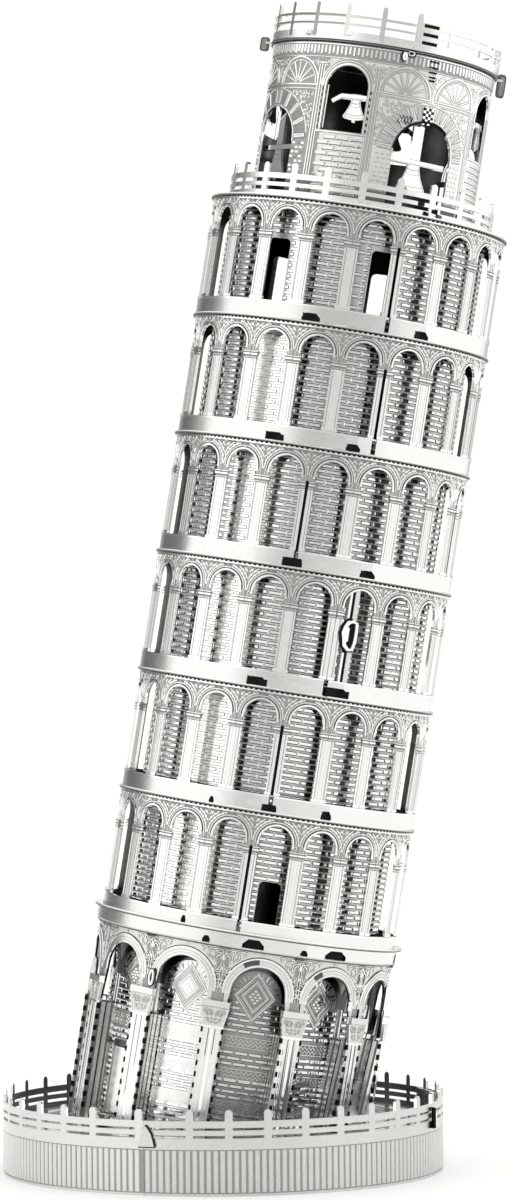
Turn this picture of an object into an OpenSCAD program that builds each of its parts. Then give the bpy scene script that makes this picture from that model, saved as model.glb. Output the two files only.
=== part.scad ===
// Miniature leaning round bell tower on a round plaza, made of thin etched steel sheet.
// Rolled strips stand on flat discs; tabs pass through slots and are twisted to lock.

/* [Sheet] */
// Thickness of the steel sheet
sheet = 0.25; // [0.2:0.05:0.3]
// Clearance round a tab in its slot and between sheets that face each other
play = 0.05; // [0.03:0.01:0.08]
// Width of a locking tab
tab_w = 1.4; // [1:0.1:1.8]

/* [Plaza] */
// Diameter over the skirt of the plaza
plaza_d = 39; // [37:0.5:42]
// Height of the fluted part of the skirt
flute_h = 3.9; // [3:0.1:5]
// Height of the plain band above the flutes
skirt_band_h = 0.95; // [0.8:0.05:1.2]
// Height of one rail of the plaza railing
skirt_rail_h = 0.5; // [0.4:0.05:0.6]
// Gap under each rail of the plaza railing
skirt_gap_h = 0.22; // [0.2:0.02:0.4]
// Width of a railing post
post_w = 0.66; // [0.5:0.02:0.8]
// Height of a post's round head above the top rail
post_rise = 0.95; // [0.6:0.05:1.2]
// Number of regular posts on the plaza railing
skirt_posts = 35; // [31:2:39]
// Angle from the seam post to its neighbours
seam_gap_angle = 13.2; // [10:0.2:16]

/* [Tower] */
// Lean of the tower from upright, in degrees
lean = 9.4; // [6:0.1:10]
// Offset of the tower's axis from the plaza's centre, at the table
axis_offset = -1.17; // [-1.5:0.01:0]
// Height of the ground storey's arcade above the table, along the axis
ground_top = 20.45; // [20:0.05:21]
// Height of the cornice ring over the ground storey
cornice_h = 1.04; // [0.9:0.02:1.2]
// Distance from one gallery floor to the next
storey_h = 10.55; // [10.2:0.05:10.8]
// Diameter over the gallery arcades
gallery_d = 26.1; // [25.6:0.1:26.4]
// Diameter over the inner wall
wall_d = 22.9; // [22:0.1:23.2]
// Diameter of the gallery floors
floor_d = 26.5; // [26.3:0.1:26.8]

/* [Gallery arcade] */
// Width of an arch
arch_w = 2.86; // [2.4:0.02:3]
// Height of the band under the columns
foot_band_h = 1.3; // [1:0.05:1.5]
// Height of the arch crown above the floor
arch_top = 9.4; // [9:0.05:9.5]
// Half the angle of the gap at a strip's seam
seam_half_angle = 0.8; // [0.5:0.1:1]

/* [Ground storey] */
// Width of a ground arch
bay_arch_w = 4.8; // [4.4:0.1:5]
// Height of the ground arches' crown along the axis
bay_arch_top = 19.2; // [18.8:0.1:19.4]
// Height of the capitals' upper face along the axis
capital_top = 15.9; // [15.5:0.1:16.2]
// Width of a pilaster's front face
pilaster_w = 1.86; // [1.7:0.02:2]
// Radius to a pilaster's front face
pilaster_r = 13.4; // [13.3:0.05:13.5]

/* [Belfry] */
// Diameter over the belfry drum
drum_d = 19.8; // [19.4:0.1:20]
// Height of the drum
drum_h = 14.05; // [13.8:0.05:14.2]
// Width of a high bell opening
high_w = 3.86; // [3.4:0.02:4]
// Width of a low bell arch
low_w = 5.9; // [5.4:0.1:6]
// Diameter over the terrace railing
terrace_d = 23.6; // [23.2:0.1:24]
// Diameter over the crown railing
crown_d = 20.3; // [20.1:0.1:20.5]

/* [Hidden] */
$fn = 96;

// --- counts that the seams and doorways depend on ---
galleries = 6;
arches = 20;                            // round a gallery
bays = 12;                              // round the ground storey

// --- plaza levels ---
plaza_r = plaza_d / 2;
skirt_band_top = flute_h + skirt_band_h;
skirt_h = skirt_band_top + 2 * (skirt_gap_h + skirt_rail_h);
plaza_top = 4.5;
seam_post = -22.3;                      // angle of the post that hides the front seam
splice_at = 104;                        // angle of the back seam with its splice plate
regular_pitch = (360 - 2 * seam_gap_angle) / (skirt_posts - 1);
splice_holes = 4;

// --- tower levels, along the axis from the table ---
gallery_r = gallery_d / 2;
wall_r = wall_d / 2;
floor_r = floor_d / 2;
first_floor_top = ground_top + cornice_h + 2 * sheet;
arcade_h = storey_h - sheet;
function floor_top(n) = first_floor_top + (n - 2) * storey_h;
terrace_top = floor_top(galleries + 2);
roof_top = terrace_top + drum_h + sheet + 0.04;

// Angle of an arch next to the front, and of the front seam, for each gallery
arch_phase = [3.7, 8.4, 4.2, 3.4, 8.3, 6.2];
seam_phase = [-5.3, -0.6, 13.2, -5.6, 17.3, 15.2];
// Angle and height of the doorways in the gallery walls
door_w = 2.1;
tall_door_h = 5.8;
low_door_h = 3.9;
tabs_per_half = 3;
tab_rise = 0.6;
notch_w = tab_w + 0.5;
notch_h = 0.85;

// --- belfry levels above the terrace ---
bell_phase = -18.4;                     // angle of the first high opening
high_sill = 6.4;
high_top = 12.2;
low_top = 8.35;
steel = "gainsboro";

// ---------- places ----------
module tower() {
    translate([axis_offset, 0, 0]) rotate([0, lean, 0]) children();
}
// Angle 0 faces -Y and grows towards +X; +X of the children points outwards
module at_angle(a, r = 0) {
    rotate([0, 0, a - 90]) translate([r, 0, 0]) children();
}

// ---------- sheet shapes ----------
module strip(r, h, from, to, t = sheet) {
    at_angle(from) rotate_extrude(angle = to - from) translate([r - t, 0]) square([t, h]);
}
module tube(r, h, t = sheet) {
    difference() {
        cylinder(r = r, h = h);
        translate([0, 0, -1]) cylinder(r = r - t, h = h + 2);
    }
}
module disc(r) {
    cylinder(r = r, h = sheet);
}
// A prism through the wall: a rectangle with a round head
module arch_cut(w, foot, top, depth = 3) {
    spring = top - w / 2;
    translate([-depth / 2, 0, 0]) rotate([90, 0, 90]) linear_extrude(depth) {
        translate([-w / 2, foot]) square([w, spring - foot]);
        translate([0, spring]) circle(d = w);
    }
}
module box_cut(w, foot, h, depth = 3) {
    translate([-depth / 2, -w / 2, foot]) cube([depth, w, h]);
}
// The gap between two railing posts of width w, above the top rail: it leaves their heads round
module bay_cut(r, pitch_angle, w, foot, top) {
    half = PI * r * pitch_angle / 360;
    head = [for (b = [0:15:60]) [half - w / 2 * cos(b), top + 0.04 - w / 2 * (1 - sin(b) / sin(60))]];
    last = len(head) - 1;
    translate([-1, 0, 0]) rotate([90, 0, 90]) linear_extrude(2) polygon(concat(
        [[head[0][0], foot]], head, [[head[last][0], top + 1], [-head[last][0], top + 1]],
        [for (i = [0:last]) [-head[last - i][0], head[last - i][1]]], [[-head[0][0], foot]]));
}
// Flat tab lying in a strip's surface
module tab(r, foot, h, w = tab_w, t = sheet) {
    translate([r - t, -w / 2, foot]) cube([t, w, h]);
}
module slot(r, w = tab_w) {
    translate([r - sheet - play, -w / 2 - play, -1]) cube([sheet + 2 * play, w + 2 * play, 3]);
}

// ---------- plaza ----------
// the long strip ends just past its seam post
seam_edge = seam_post + 1.4;
function skirt_post_angle(i) = seam_post + seam_gap_angle + i * regular_pitch;

module skirt_strip(from, to) {
    first_gap = skirt_band_top;
    second_gap = first_gap + skirt_gap_h + skirt_rail_h;
    // [angle of the bay's centre, angle between its posts]
    bays_round = concat(
        [for (i = [0:skirt_posts - 2]) [skirt_post_angle(i) + regular_pitch / 2, regular_pitch]],
        [[seam_post + seam_gap_angle / 2, seam_gap_angle],
         [seam_post + 360 - seam_gap_angle / 2, seam_gap_angle]]);
    difference() {
        strip(plaza_r, skirt_h + post_rise, from, to);
        for (bay = bays_round) at_angle(bay[0], plaza_r) {
            bay_cut(plaza_r, bay[1], post_w, skirt_h, skirt_h + post_rise);
            // the two bays at the back seam stay closed
            if (abs(bay[0] - splice_at) > regular_pitch) for (z = [first_gap, second_gap])
                box_cut(PI * plaza_r * bay[1] / 180 - post_w, z, skirt_gap_h, 2);
        }
    }
    for (a = [from + 24:40:to - 12]) at_angle(a) skirt_lug();
}
// Lug folded inwards under the plaza disc
module skirt_lug() {
    translate([plaza_r - sheet - 1.6, -tab_w / 2, plaza_top - 2 * sheet]) cube([1.7, tab_w, sheet]);
}
module skirt_strip_long() {
    color(steel) skirt_strip(splice_at + 0.4, seam_edge + 360);
}
module skirt_strip_short() {
    color(steel) skirt_strip(seam_edge + 0.15, splice_at - 0.4);
}
// Plate behind the back seam, with round holes
module skirt_splice_plate() {
    span = 16;
    inner_r = plaza_r - sheet - play;
    color(steel) difference() {
        translate([0, 0, plaza_top + play])
            strip(inner_r, skirt_h - plaza_top, splice_at - span / 2, splice_at + span / 2);
        for (i = [0:splice_holes - 1])
            at_angle(splice_at + (i - (splice_holes - 1) / 2) * 3.6, inner_r)
                translate([-2, 0, plaza_top + 0.75 + (i % 2) * 0.75]) rotate([0, 90, 0])
                    cylinder(d = 0.4, h = 4, $fn = 24);
    }
}
// Floor of the plaza, slotted for the feet of the tower's inner wall
module plaza_disc() {
    color(steel) difference() {
        translate([0, 0, plaza_top - sheet]) disc(plaza_r - sheet - play);
        tower() for (a = [45:90:315]) at_angle(a) translate([0, 0, plaza_top])
            translate([wall_r - sheet - 0.2, -tab_w / 2 - 0.2, -6]) cube([sheet + 0.4, tab_w + 0.4, 12]);
    }
}

// ---------- ground storey ----------
ground_phase = 6;                        // angle of the arch next to the front
pilaster_phase = ground_phase - 180 / bays;
arcade_ground_r = 13.1;
wall_foot_tab = 1.1;
shaft_top = capital_top - 2.25;

// Everything of the ground storey is cut off level by the plaza floor
module above_plaza() {
    difference() {
        children();
        translate([-50, -50, plaza_top - 50]) cube([100, 100, 50]);
    }
}
module ground_wall() {
    color(steel) {
        above_plaza() tower() tube(wall_r, ground_top);
        tower() for (a = [45:90:315]) at_angle(a) {
            // the foot follows the slope of the plaza floor in the tower's own frame
            foot = (plaza_top + sin(a) * wall_r * sin(lean)) / cos(lean);
            tab(wall_r, foot - wall_foot_tab, wall_foot_tab + 0.4);
        }
    }
}
module ground_arcade(from, to) {
    // the strip's own column is narrow below the capital, where the pilaster straddles it
    column_w = pilaster_w - 2 * sheet - 4 * play;
    low_open_w = 2 * arcade_ground_r * tan(180 / bays) - column_w;
    above_plaza() tower() difference() {
        union() {
            strip(arcade_ground_r, ground_top, from, to);
            for (i = [0:tabs_per_half - 1])
                at_angle(from + (i + 0.5) * 180 / tabs_per_half)
                    tab(arcade_ground_r, ground_top - 0.3, 0.3 + sheet + tab_rise);
        }
        for (i = [-6:12]) {
            a = ground_phase + i * 360 / bays;
            if (a > from && a < to) at_angle(a, arcade_ground_r) {
                arch_cut(bay_arch_w, -1, bay_arch_top);
                box_cut(low_open_w, -1, 1 + shaft_top);
            }
        }
    }
}
module ground_arcade_right() {
    color(steel) ground_arcade(pilaster_phase + 0.3, pilaster_phase + 179.7);
}
module ground_arcade_left() {
    color(steel) ground_arcade(pilaster_phase + 180.3, pilaster_phase + 359.7);
}
// Folded channel in front of each column, with a capital plate and flanges back to the wall
module pilaster() {
    depth = pilaster_r - wall_r - play;
    difference() {
        union() {
            translate([pilaster_r - sheet, -pilaster_w / 2, 0]) cube([sheet, pilaster_w, shaft_top + 0.3]);
            for (side = [-1, 1])
                translate([wall_r + play, side * (pilaster_w - sheet) / 2 - sheet / 2, 0])
                    cube([depth, sheet, shaft_top]);
            capital();
        }
        // the channel straddles the arcade's column
        translate([arcade_ground_r - sheet - play, -pilaster_w, shaft_top - 0.01])
            cube([sheet + 2 * play, 2 * pilaster_w, capital_top]);
    }
}
module capital() {
    foot = shaft_top;
    spread = 0.35;
    translate([pilaster_r - sheet, 0, 0]) rotate([90, 0, 90]) linear_extrude(sheet) polygon([
        [-pilaster_w / 2, foot], [pilaster_w / 2, foot],
        [pilaster_w / 2 + spread, capital_top - 0.6], [pilaster_w / 2 + spread, capital_top],
        [-pilaster_w / 2 - spread, capital_top], [-pilaster_w / 2 - spread, capital_top - 0.6]]);
}
module ground_pilasters() {
    color(steel) above_plaza() tower()
        for (i = [0:bays - 1]) at_angle(pilaster_phase + i * 360 / bays) pilaster();
}

// ---------- cornice between the ground storey and the first gallery ----------
cornice_r = 13.4;
module cornice_disc() {
    color(steel) tower() translate([0, 0, ground_top]) difference() {
        disc(floor_r + 0.1);
        for (i = [0:2 * tabs_per_half - 1])
            at_angle(pilaster_phase + (i + 0.5) * 180 / tabs_per_half) slot(arcade_ground_r);
    }
}
module cornice_ring() {
    color(steel) tower() translate([0, 0, ground_top + sheet]) difference() {
        tube(cornice_r, cornice_h);
        for (i = [0:2 * tabs_per_half - 1])
            at_angle(pilaster_phase + (i + 0.5) * 180 / tabs_per_half, cornice_r)
                box_cut(notch_w, -1, 1 + notch_h, 2);
    }
}

// ---------- galleries ----------
function seam(n) = seam_phase[n - 2];
function tab_angle(n, i) = seam(n) + (i + 0.5) * 180 / tabs_per_half;

// Floor under gallery n, slotted for the tabs of the arcade below
module floor_disc(n) {
    color(steel) tower() translate([0, 0, floor_top(n) - sheet]) difference() {
        disc(floor_r);
        if (n > 2) for (i = [0:2 * tabs_per_half - 1])
            at_angle(tab_angle(n - 1, i)) slot(gallery_r);
        for (a = [30:90:300]) at_angle(a) slot(wall_r);
    }
}
// Inner wall of gallery n; its foot tabs pass through the floor
module wall(n) {
    door = doorways(n);
    color(steel) tower() translate([0, 0, floor_top(n)]) {
        difference() {
            tube(wall_r, arcade_h);
            for (d = door) at_angle(d[0], wall_r) box_cut(door_w, d[1], d[2]);
            at_angle(180, wall_r) box_cut(0.15, -1, arcade_h + 2, 1.5);
        }
        for (a = [30:90:300]) at_angle(a) tab(wall_r, -sheet - 0.5, sheet + 0.9);
    }
}
// Doorways of gallery n: [angle, sill, height]
function doorways(n) =
    n == 2 ? [[5, 0.6, low_door_h]] :
    n == 7 ? [for (a = [-36.5, 10.9, 163.5, 213]) [a, 1.2, tall_door_h]] : [[200, 1.2, tall_door_h]];

// Half of the arcade of gallery n, from a seam to the opposite seam
module arcade(n, from) {
    to = from + 180;
    foot_band = n == 2 ? foot_band_h - 0.35 : foot_band_h;
    notches = n > 2 ? [for (i = [-6:6]) tab_angle(n - 1, i)] : [];
    color(steel) tower() translate([0, 0, floor_top(n)]) difference() {
        union() {
            strip(gallery_r, arcade_h, from + seam_half_angle, to - seam_half_angle);
            for (i = [0:tabs_per_half - 1])
                at_angle(from + (i + 0.5) * 180 / tabs_per_half)
                    tab(gallery_r, arcade_h - 0.3, 0.3 + sheet + (n < 7 ? tab_rise : 0.2));
        }
        for (i = [-10:20]) {
            a = arch_phase[n - 2] + i * 360 / arches;
            if (a > from + 4 && a < to - 4)
                at_angle(a, gallery_r) arch_cut(arch_w, foot_band, arch_top);
        }
        for (a = notches)
            if (a > from + 4 && a < to - 4)
                at_angle(a, gallery_r) box_cut(notch_w, -1, 1 + notch_h, 1.2);
    }
}

// ---------- belfry ----------
terrace_posts = 23;
terrace_phase = 169.6;                  // first post, at the back
module terrace_disc() {
    color(steel) tower() translate([0, 0, terrace_top - sheet]) difference() {
        disc(floor_r);
        for (i = [0:2 * tabs_per_half - 1]) at_angle(tab_angle(7, i)) slot(gallery_r);
        for (a = bell_bays(75)) at_angle(a) slot(drum_d / 2);
    }
}
function bell_bays(shift) = [for (i = [0:3]) bell_phase + shift + i * 90];

// Railing rolled from one strip: bands of rails with slots between, and round-headed posts.
// The first post is at phase, and the bay before it takes what the even pitch leaves.
module railing(r, rails, count, phase, top, w) {
    pitch = round(3600 / count) / 10;
    closing = 360 - (count - 1) * pitch;
    at_angle(phase) difference() {
        // the strip's ends meet in the middle of the closing bay
        rotate([0, 0, 0.2 - closing / 2]) rotate_extrude(angle = 359.6)
            translate([r - sheet, 0]) square([sheet, top]);
        for (i = [0:count - 1]) {
            bay = i < count - 1 ? pitch : closing;
            rotate([0, 0, i * pitch + bay / 2]) translate([r, 0, 0]) {
                bay_cut(r, bay, w, rails[len(rails) - 1][1], top);
                for (k = [1:len(rails) - 1])
                    box_cut(PI * r * bay / 180 - w, rails[k - 1][1], rails[k][0] - rails[k - 1][1], 1.2);
            }
        }
    }
}
module terrace_railing() {
    rails = [[0, 0.58], [0.92, 1.27], [1.61, 2.08]];
    color(steel) tower() translate([0, 0, terrace_top])
        railing(terrace_d / 2, rails, terrace_posts, terrace_phase, 3, 0.62);
}
module belfry_drum() {
    seam_a = bell_phase + 240;
    color(steel) tower() translate([0, 0, terrace_top]) difference() {
        union() {
            tube(drum_d / 2, drum_h);
            for (a = bell_bays(75)) at_angle(a) tab(drum_d / 2, -sheet - 0.5, sheet + 0.9);
        }
        for (a = bell_bays(0)) at_angle(a, drum_d / 2) arch_cut(high_w, high_sill, high_top);
        for (a = bell_bays(45)) at_angle(a, drum_d / 2) arch_cut(low_w, 0.5, low_top);
        at_angle(seam_a, drum_d / 2) box_cut(0.2, -1, drum_h + 2, 1.5);
    }
}
// Narrow strip behind the drum's seam
module drum_splice_strip() {
    a = bell_phase + 240;
    color(steel) tower() translate([0, 0, terrace_top + 0.1])
        strip(drum_d / 2 - sheet - play, drum_h - 0.2, a - 4, a + 4);
}
// Flat bell with its yoke bar and strap, cut in one piece from sheet; it hangs inside an opening
module bell_plate(bell_w, bell_h, yoke_w, yoke_z, strap_w, strap_top) {
    bar = 0.5;
    hanger = [[strap_w / 2, strap_top], [strap_w / 2, yoke_z + bar],
              [yoke_w / 2, yoke_z + bar], [yoke_w / 2, yoke_z]];
    // the bell's side flares down to its rim, which is rounded off
    flare = [for (t = [0:0.125:0.875]) [bell_w * (0.21 + 0.38 * t * t), yoke_z - t * bell_h]];
    rim = [[0.42 * bell_w, yoke_z - 0.96 * bell_h], [0.26 * bell_w, yoke_z - bell_h]];
    half = concat(hanger, flare, rim);
    last = len(half) - 1;
    rotate([90, 0, 90]) linear_extrude(sheet)
        polygon(concat(half, [for (i = [0:last]) [-half[last - i][0], half[last - i][1]]]));
}
// Bell in a high opening, hung from the bar that spans the jambs
module bell_high(i) {
    back = drum_d / 2 - 3 * sheet;
    color("silver") tower() translate([0, 0, terrace_top])
        at_angle(bell_bays(0)[i - 1], back) bell_plate(2.05, 1.8, high_w + 0.4, 9.3, 0.9, 10.2);
}
// Bell in a low arch, with a strap up to the crown of the arch
module bell_low(i) {
    back = drum_d / 2 - 1.2;
    color("silver") tower() translate([0, 0, terrace_top])
        at_angle(bell_bays(45)[i - 1], back) bell_plate(2.8, 2.5, low_w + 0.9, 4.6, 1.1, low_top + 0.4);
}
module roof_disc() {
    lug_angles = [91.6, 271.6];
    color(steel) tower() translate([0, 0, terrace_top + drum_h + 0.02]) {
        disc(drum_d / 2 + 0.25);
        for (a = lug_angles) at_angle(a) translate([drum_d / 2 - 0.5, -0.45, 0]) cube([1.3, 0.9, sheet]);
        for (a = lug_angles) at_angle(a) tab(drum_d / 2 + 1.03, -1.4, 2.1, 0.85);
    }
}
module crown_railing() {
    rails = [[0, 0.8], [1.26, 1.5], [1.95, 2.25]];
    color(steel) tower() translate([0, 0, roof_top])
        railing(crown_d / 2, rails, 20, -4.6, 3.22, 0.5);
}

skirt_strip_long();
skirt_strip_short();
skirt_splice_plate();
plaza_disc();
ground_wall();
ground_arcade_left();
ground_arcade_right();
ground_pilasters();
cornice_disc();
cornice_ring();
for (n = [2:7]) {
    floor_disc(n);
    wall(n);
    arcade(n, seam(n));
    arcade(n, seam(n) - 180);
}
terrace_disc();
terrace_railing();
belfry_drum();
drum_splice_strip();
for (i = [1:4]) {
    bell_high(i);
    bell_low(i);
}
roof_disc();
crown_railing();
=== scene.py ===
import random
from math import cos, degrees, hypot, pi, radians, sin, sqrt

import bpy
import numpy as np
from mathutils import Matrix, Vector


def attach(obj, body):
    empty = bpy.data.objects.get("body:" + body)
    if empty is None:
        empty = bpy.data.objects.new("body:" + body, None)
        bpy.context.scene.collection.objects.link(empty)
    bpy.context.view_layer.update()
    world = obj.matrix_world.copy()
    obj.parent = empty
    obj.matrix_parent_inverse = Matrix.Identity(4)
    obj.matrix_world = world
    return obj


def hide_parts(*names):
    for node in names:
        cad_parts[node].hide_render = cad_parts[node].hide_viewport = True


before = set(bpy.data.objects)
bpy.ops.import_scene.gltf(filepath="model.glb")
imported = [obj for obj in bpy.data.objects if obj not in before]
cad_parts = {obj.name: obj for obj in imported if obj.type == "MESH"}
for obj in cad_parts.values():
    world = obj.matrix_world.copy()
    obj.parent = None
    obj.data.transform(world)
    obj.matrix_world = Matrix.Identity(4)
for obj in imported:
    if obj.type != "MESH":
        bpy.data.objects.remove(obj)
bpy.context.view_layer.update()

# Lengths are in mm until a mesh is made. A solid is laid out on a sheet that is flat: x runs along the sheet, y up, and
# w outwards from its face. A Piece then bends it round the tower's axis, or places it flat, facing outwards.
# Azimuth 0 is at -Y, where the main view is taken from, and it grows towards +X.
MM = 0.001
TAU = 2 * pi
LEAN = radians(9.4)
AXIS_X = -1.17  # where the tower's axis meets the table
SHEET = 0.25
POLISH, ETCH, LINE, BACK, SATIN, GROUND, DARK, BAND = range(8)  # material indices of every piece

# ---------- levels along the tower's axis, and radii ----------
GROUND_TOP = 20.45
CORNICE_H = 1.04
STOREY = 10.55
FLOOR_2 = GROUND_TOP + CORNICE_H + 2 * SHEET
TERRACE = FLOOR_2 + 6 * STOREY
DRUM_H = 14.05
ROOF = TERRACE + DRUM_H + SHEET + 0.04
PLAZA_R, GROUND_R, PILASTER_R, CORNICE_R = 19.5, 13.1, 13.4, 13.4
GALLERY_R, GALLERY_DISC_R, WALL_R, TERRACE_RAIL_R, DRUM_R, CROWN_R = 13.05, 13.27, 11.45, 11.8, 9.9, 10.15
COURSE, BRICK, BRICK_STEP = 0.48, 1.12, 1.25  # height of a course, length of a brick, and from brick to brick


def floor_top(n):
    return FLOOR_2 + (n - 2) * STOREY


# ---------- small solids, as (vertices, quads, materials) ----------
def join(*prims):
    V, F, M, base = [], [], [], 0
    for v, f, m in prims:
        V.append(v)
        F.append(f + base)
        M.append(m)
        base += len(v)
    return np.concatenate(V), np.concatenate(F), np.concatenate(M)


def strip(edges, looks, end, closed=False):
    """A solid with four long edges, each an array of points. looks are the materials of its faces, end of its ends."""
    V = np.stack(edges, 1)
    n = len(V)
    i = np.arange(n if closed else n - 1)[:, None]
    j = (i + 1) % n
    F = [np.hstack([4 * i + k, 4 * j + k, 4 * j + q, 4 * i + q]) for k, q in ((0, 1), (1, 2), (2, 3), (3, 0))]
    M = np.repeat(looks, len(i))
    if not closed:
        e = 4 * (n - 1)
        F.append(np.array([[0, 1, 2, 3], [e + 3, e + 2, e + 1, e]]))
        M = np.append(M, [end, end])
    return V.reshape(-1, 3), np.concatenate(F), M


def points(x, y, w):
    return np.column_stack(np.broadcast_arrays(np.asarray(x, float), y, w))


def slab(x, lo, hi, w0=-SHEET, w1=0.0, top=POLISH, side=ETCH, back=BACK, swap=False):
    """A plate with its lower and upper edges given at each x; w0 and w1 are its back and front. swap trades x and y."""
    edges = [points(x, y, w) for y, w in ((lo, w1), (hi, w1), (hi, w0), (lo, w0))]
    V, F, M = strip(edges, [top, side, back, side], side)
    return (V[:, [1, 0, 2]], F[:, ::-1], M) if swap else (V, F, M)


def pad(x0, x1, y0, y1, w0, w1, b=0.05, n=2, top=POLISH, side=None, low=None, back=None):
    """A raised pad with sloped edges b wide; low is the material of the sloped edge at the bottom."""
    side = top if side is None else side
    xo, xi = np.linspace(x0, x1, n + 1), np.linspace(x0 + b, x1 - b, n + 1)
    edges = [points(*p) for p in ((xo, y0, w0), (xi, y0 + b, w1), (xi, y1 - b, w1), (xo, y1, w0))]
    return strip(edges, [side if low is None else low, top, side, side if back is None else back], side)


def ribbon(path, width, w0, w1, closed=False, top=POLISH, side=None, b=0.03):
    """A raised line along a path of (x, y), with edges that slope over b."""
    side = top if side is None else side
    p = np.asarray(path, float)
    t = np.roll(p, -1, 0) - np.roll(p, 1, 0) if closed else np.gradient(p, axis=0)
    t /= np.maximum(np.linalg.norm(t, axis=1, keepdims=True), 1e-9)
    left = np.column_stack([-t[:, 1], t[:, 0]])
    h = width / 2
    b = min(b, 0.4 * width)
    edges = [points(*(p + off * left).T, w) for off, w in ((-h, w0), (b - h, w1), (h - b, w1), (h, w0))]
    return strip(edges, [side, top, side, side], side, closed)


def arc(cx, cy, r, a0, a1, n=10):
    a = np.radians(np.linspace(a0, a1, n))
    return np.column_stack([cx + r * np.cos(a), cy + r * np.sin(a)])


def line(x0, y0, x1, y1, step=0.6):
    n = max(2, int(hypot(x1 - x0, y1 - y0) / step) + 2)
    return np.linspace((x0, y0), (x1, y1), n)


def post(x, y0, y1, step=0.6):
    return line(x, y0, x, y1, step)


def moved(prim, dx=0.0, dy=0.0):
    return prim[0] + np.array([dx, dy, 0]), prim[1], prim[2]


def mirrored(prim):
    return prim[0] * np.array([-1, 1, 1]), prim[1][:, [1, 0, 3, 2]], prim[2]


def both(*prims):
    """Solids and their mirror images on the other side of x = 0."""
    right = join(*prims)
    return join(mirrored(right), right)


def recoloured(prim, swap):
    V, F, M = prim
    return V, F, np.select([M == a for a in swap], list(swap.values()), M)


def in_zone(prim, R, a0, a1, swap):
    """Swaps materials on the faces between two azimuths, for a solid laid out on a sheet of radius R."""
    V, F, M = prim
    az = (np.degrees(V[F[:, 0], 0] / R) + 180) % 360 - 180
    return V, F, np.where((az >= a0) & (az < a1), recoloured(prim, swap)[2], M)


def part_band(R, from_az, to_az, y0, y1, w0=-SHEET, w1=0.0, **look):
    """A plain strip of a sheet of radius R, between two azimuths."""
    n = max(3, int(abs(to_az - from_az) / 1.6))
    return slab(np.radians(np.linspace(from_az, to_az, n)) * R, y0, y1, w0, w1, **look)


def notched_band(R, height, notches, from_az, to_az):
    """A band with a notch in its lower edge at each (centre azimuth, half width in degrees, height)."""
    look = {"top": BAND, "side": POLISH}
    spans = []
    for c, half, h in notches:
        for turn in (-360, 0, 360):
            a, b = max(c + turn - half, from_az), min(c + turn + half, to_az)
            if b - a > 0.6:
                spans.append((a, b, h))
    out, edge = [], from_az
    for a, b, h in sorted(spans):
        if a - edge > 0.01:
            out.append(part_band(R, edge, a, 0, height, **look))
        # sloped shoulders, except where a seam cuts the notch
        x = np.radians(np.array([a, a + 0.25 * (b - a), b - 0.25 * (b - a), b])) * R
        lo = h * np.array([1 if a == from_az else 0.45, 1, 1, 1 if b == to_az else 0.45])
        out.append(slab(x, lo, height, **look))
        edge = b
    if to_az - edge > 0.01:
        out.append(part_band(R, edge, to_az, 0, height, **look))
    return join(*out)


def holed_plate(R, from_az, to_az, y0, y1, holes):
    """A strip with round holes at (azimuth, height, radius), built in columns above and below each hole."""
    out, edge = [], from_az
    for az, y, r in holes:
        reach = degrees(r / R)
        x = np.sin(np.linspace(-pi / 2, pi / 2, 11)) * r
        h = np.sqrt(np.maximum(r * r - x * x, 0))
        x = x + np.radians(az) * R
        out += [part_band(R, edge, az - reach, y0, y1, top=SATIN),
                slab(x, y + h, y1, top=SATIN), slab(x, y0, y - h, top=SATIN)]
        edge = az + reach
    return join(*out, part_band(R, edge, to_az, y0, y1, top=SATIN))


def bricks(half, rows, y0, shift=0.0):
    """The ends and the height of each brick in a panel of courses, 2 * half wide."""
    for row in range(rows):
        x = -half + (0.62 if row % 2 else 0.0) + shift
        while x < half:
            yield max(x, -half), min(x + BRICK, half), y0 + row * COURSE
            x += BRICK_STEP


def head_profile(w, foot, top, n=7):
    """A round-headed post, as x, lower edge and upper edge."""
    x = np.sin(np.linspace(-pi / 2, pi / 2, n)) * w / 2
    x[0], x[-1] = -w / 2 * 0.999, w / 2 * 0.999
    hi = top - w / 2 + np.sqrt(np.maximum((w / 2) ** 2 - x ** 2, 0))
    return x, np.full(n, foot), np.maximum(hi, top - w / 2 + 0.02)


# ---------- placing ----------
def lean(P):
    x, y, z = P[..., 0], P[..., 1], P[..., 2]
    c, s = cos(LEAN), sin(LEAN)
    return np.stack([AXIS_X + x * c + z * s, y, -x * s + z * c], -1)


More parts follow.
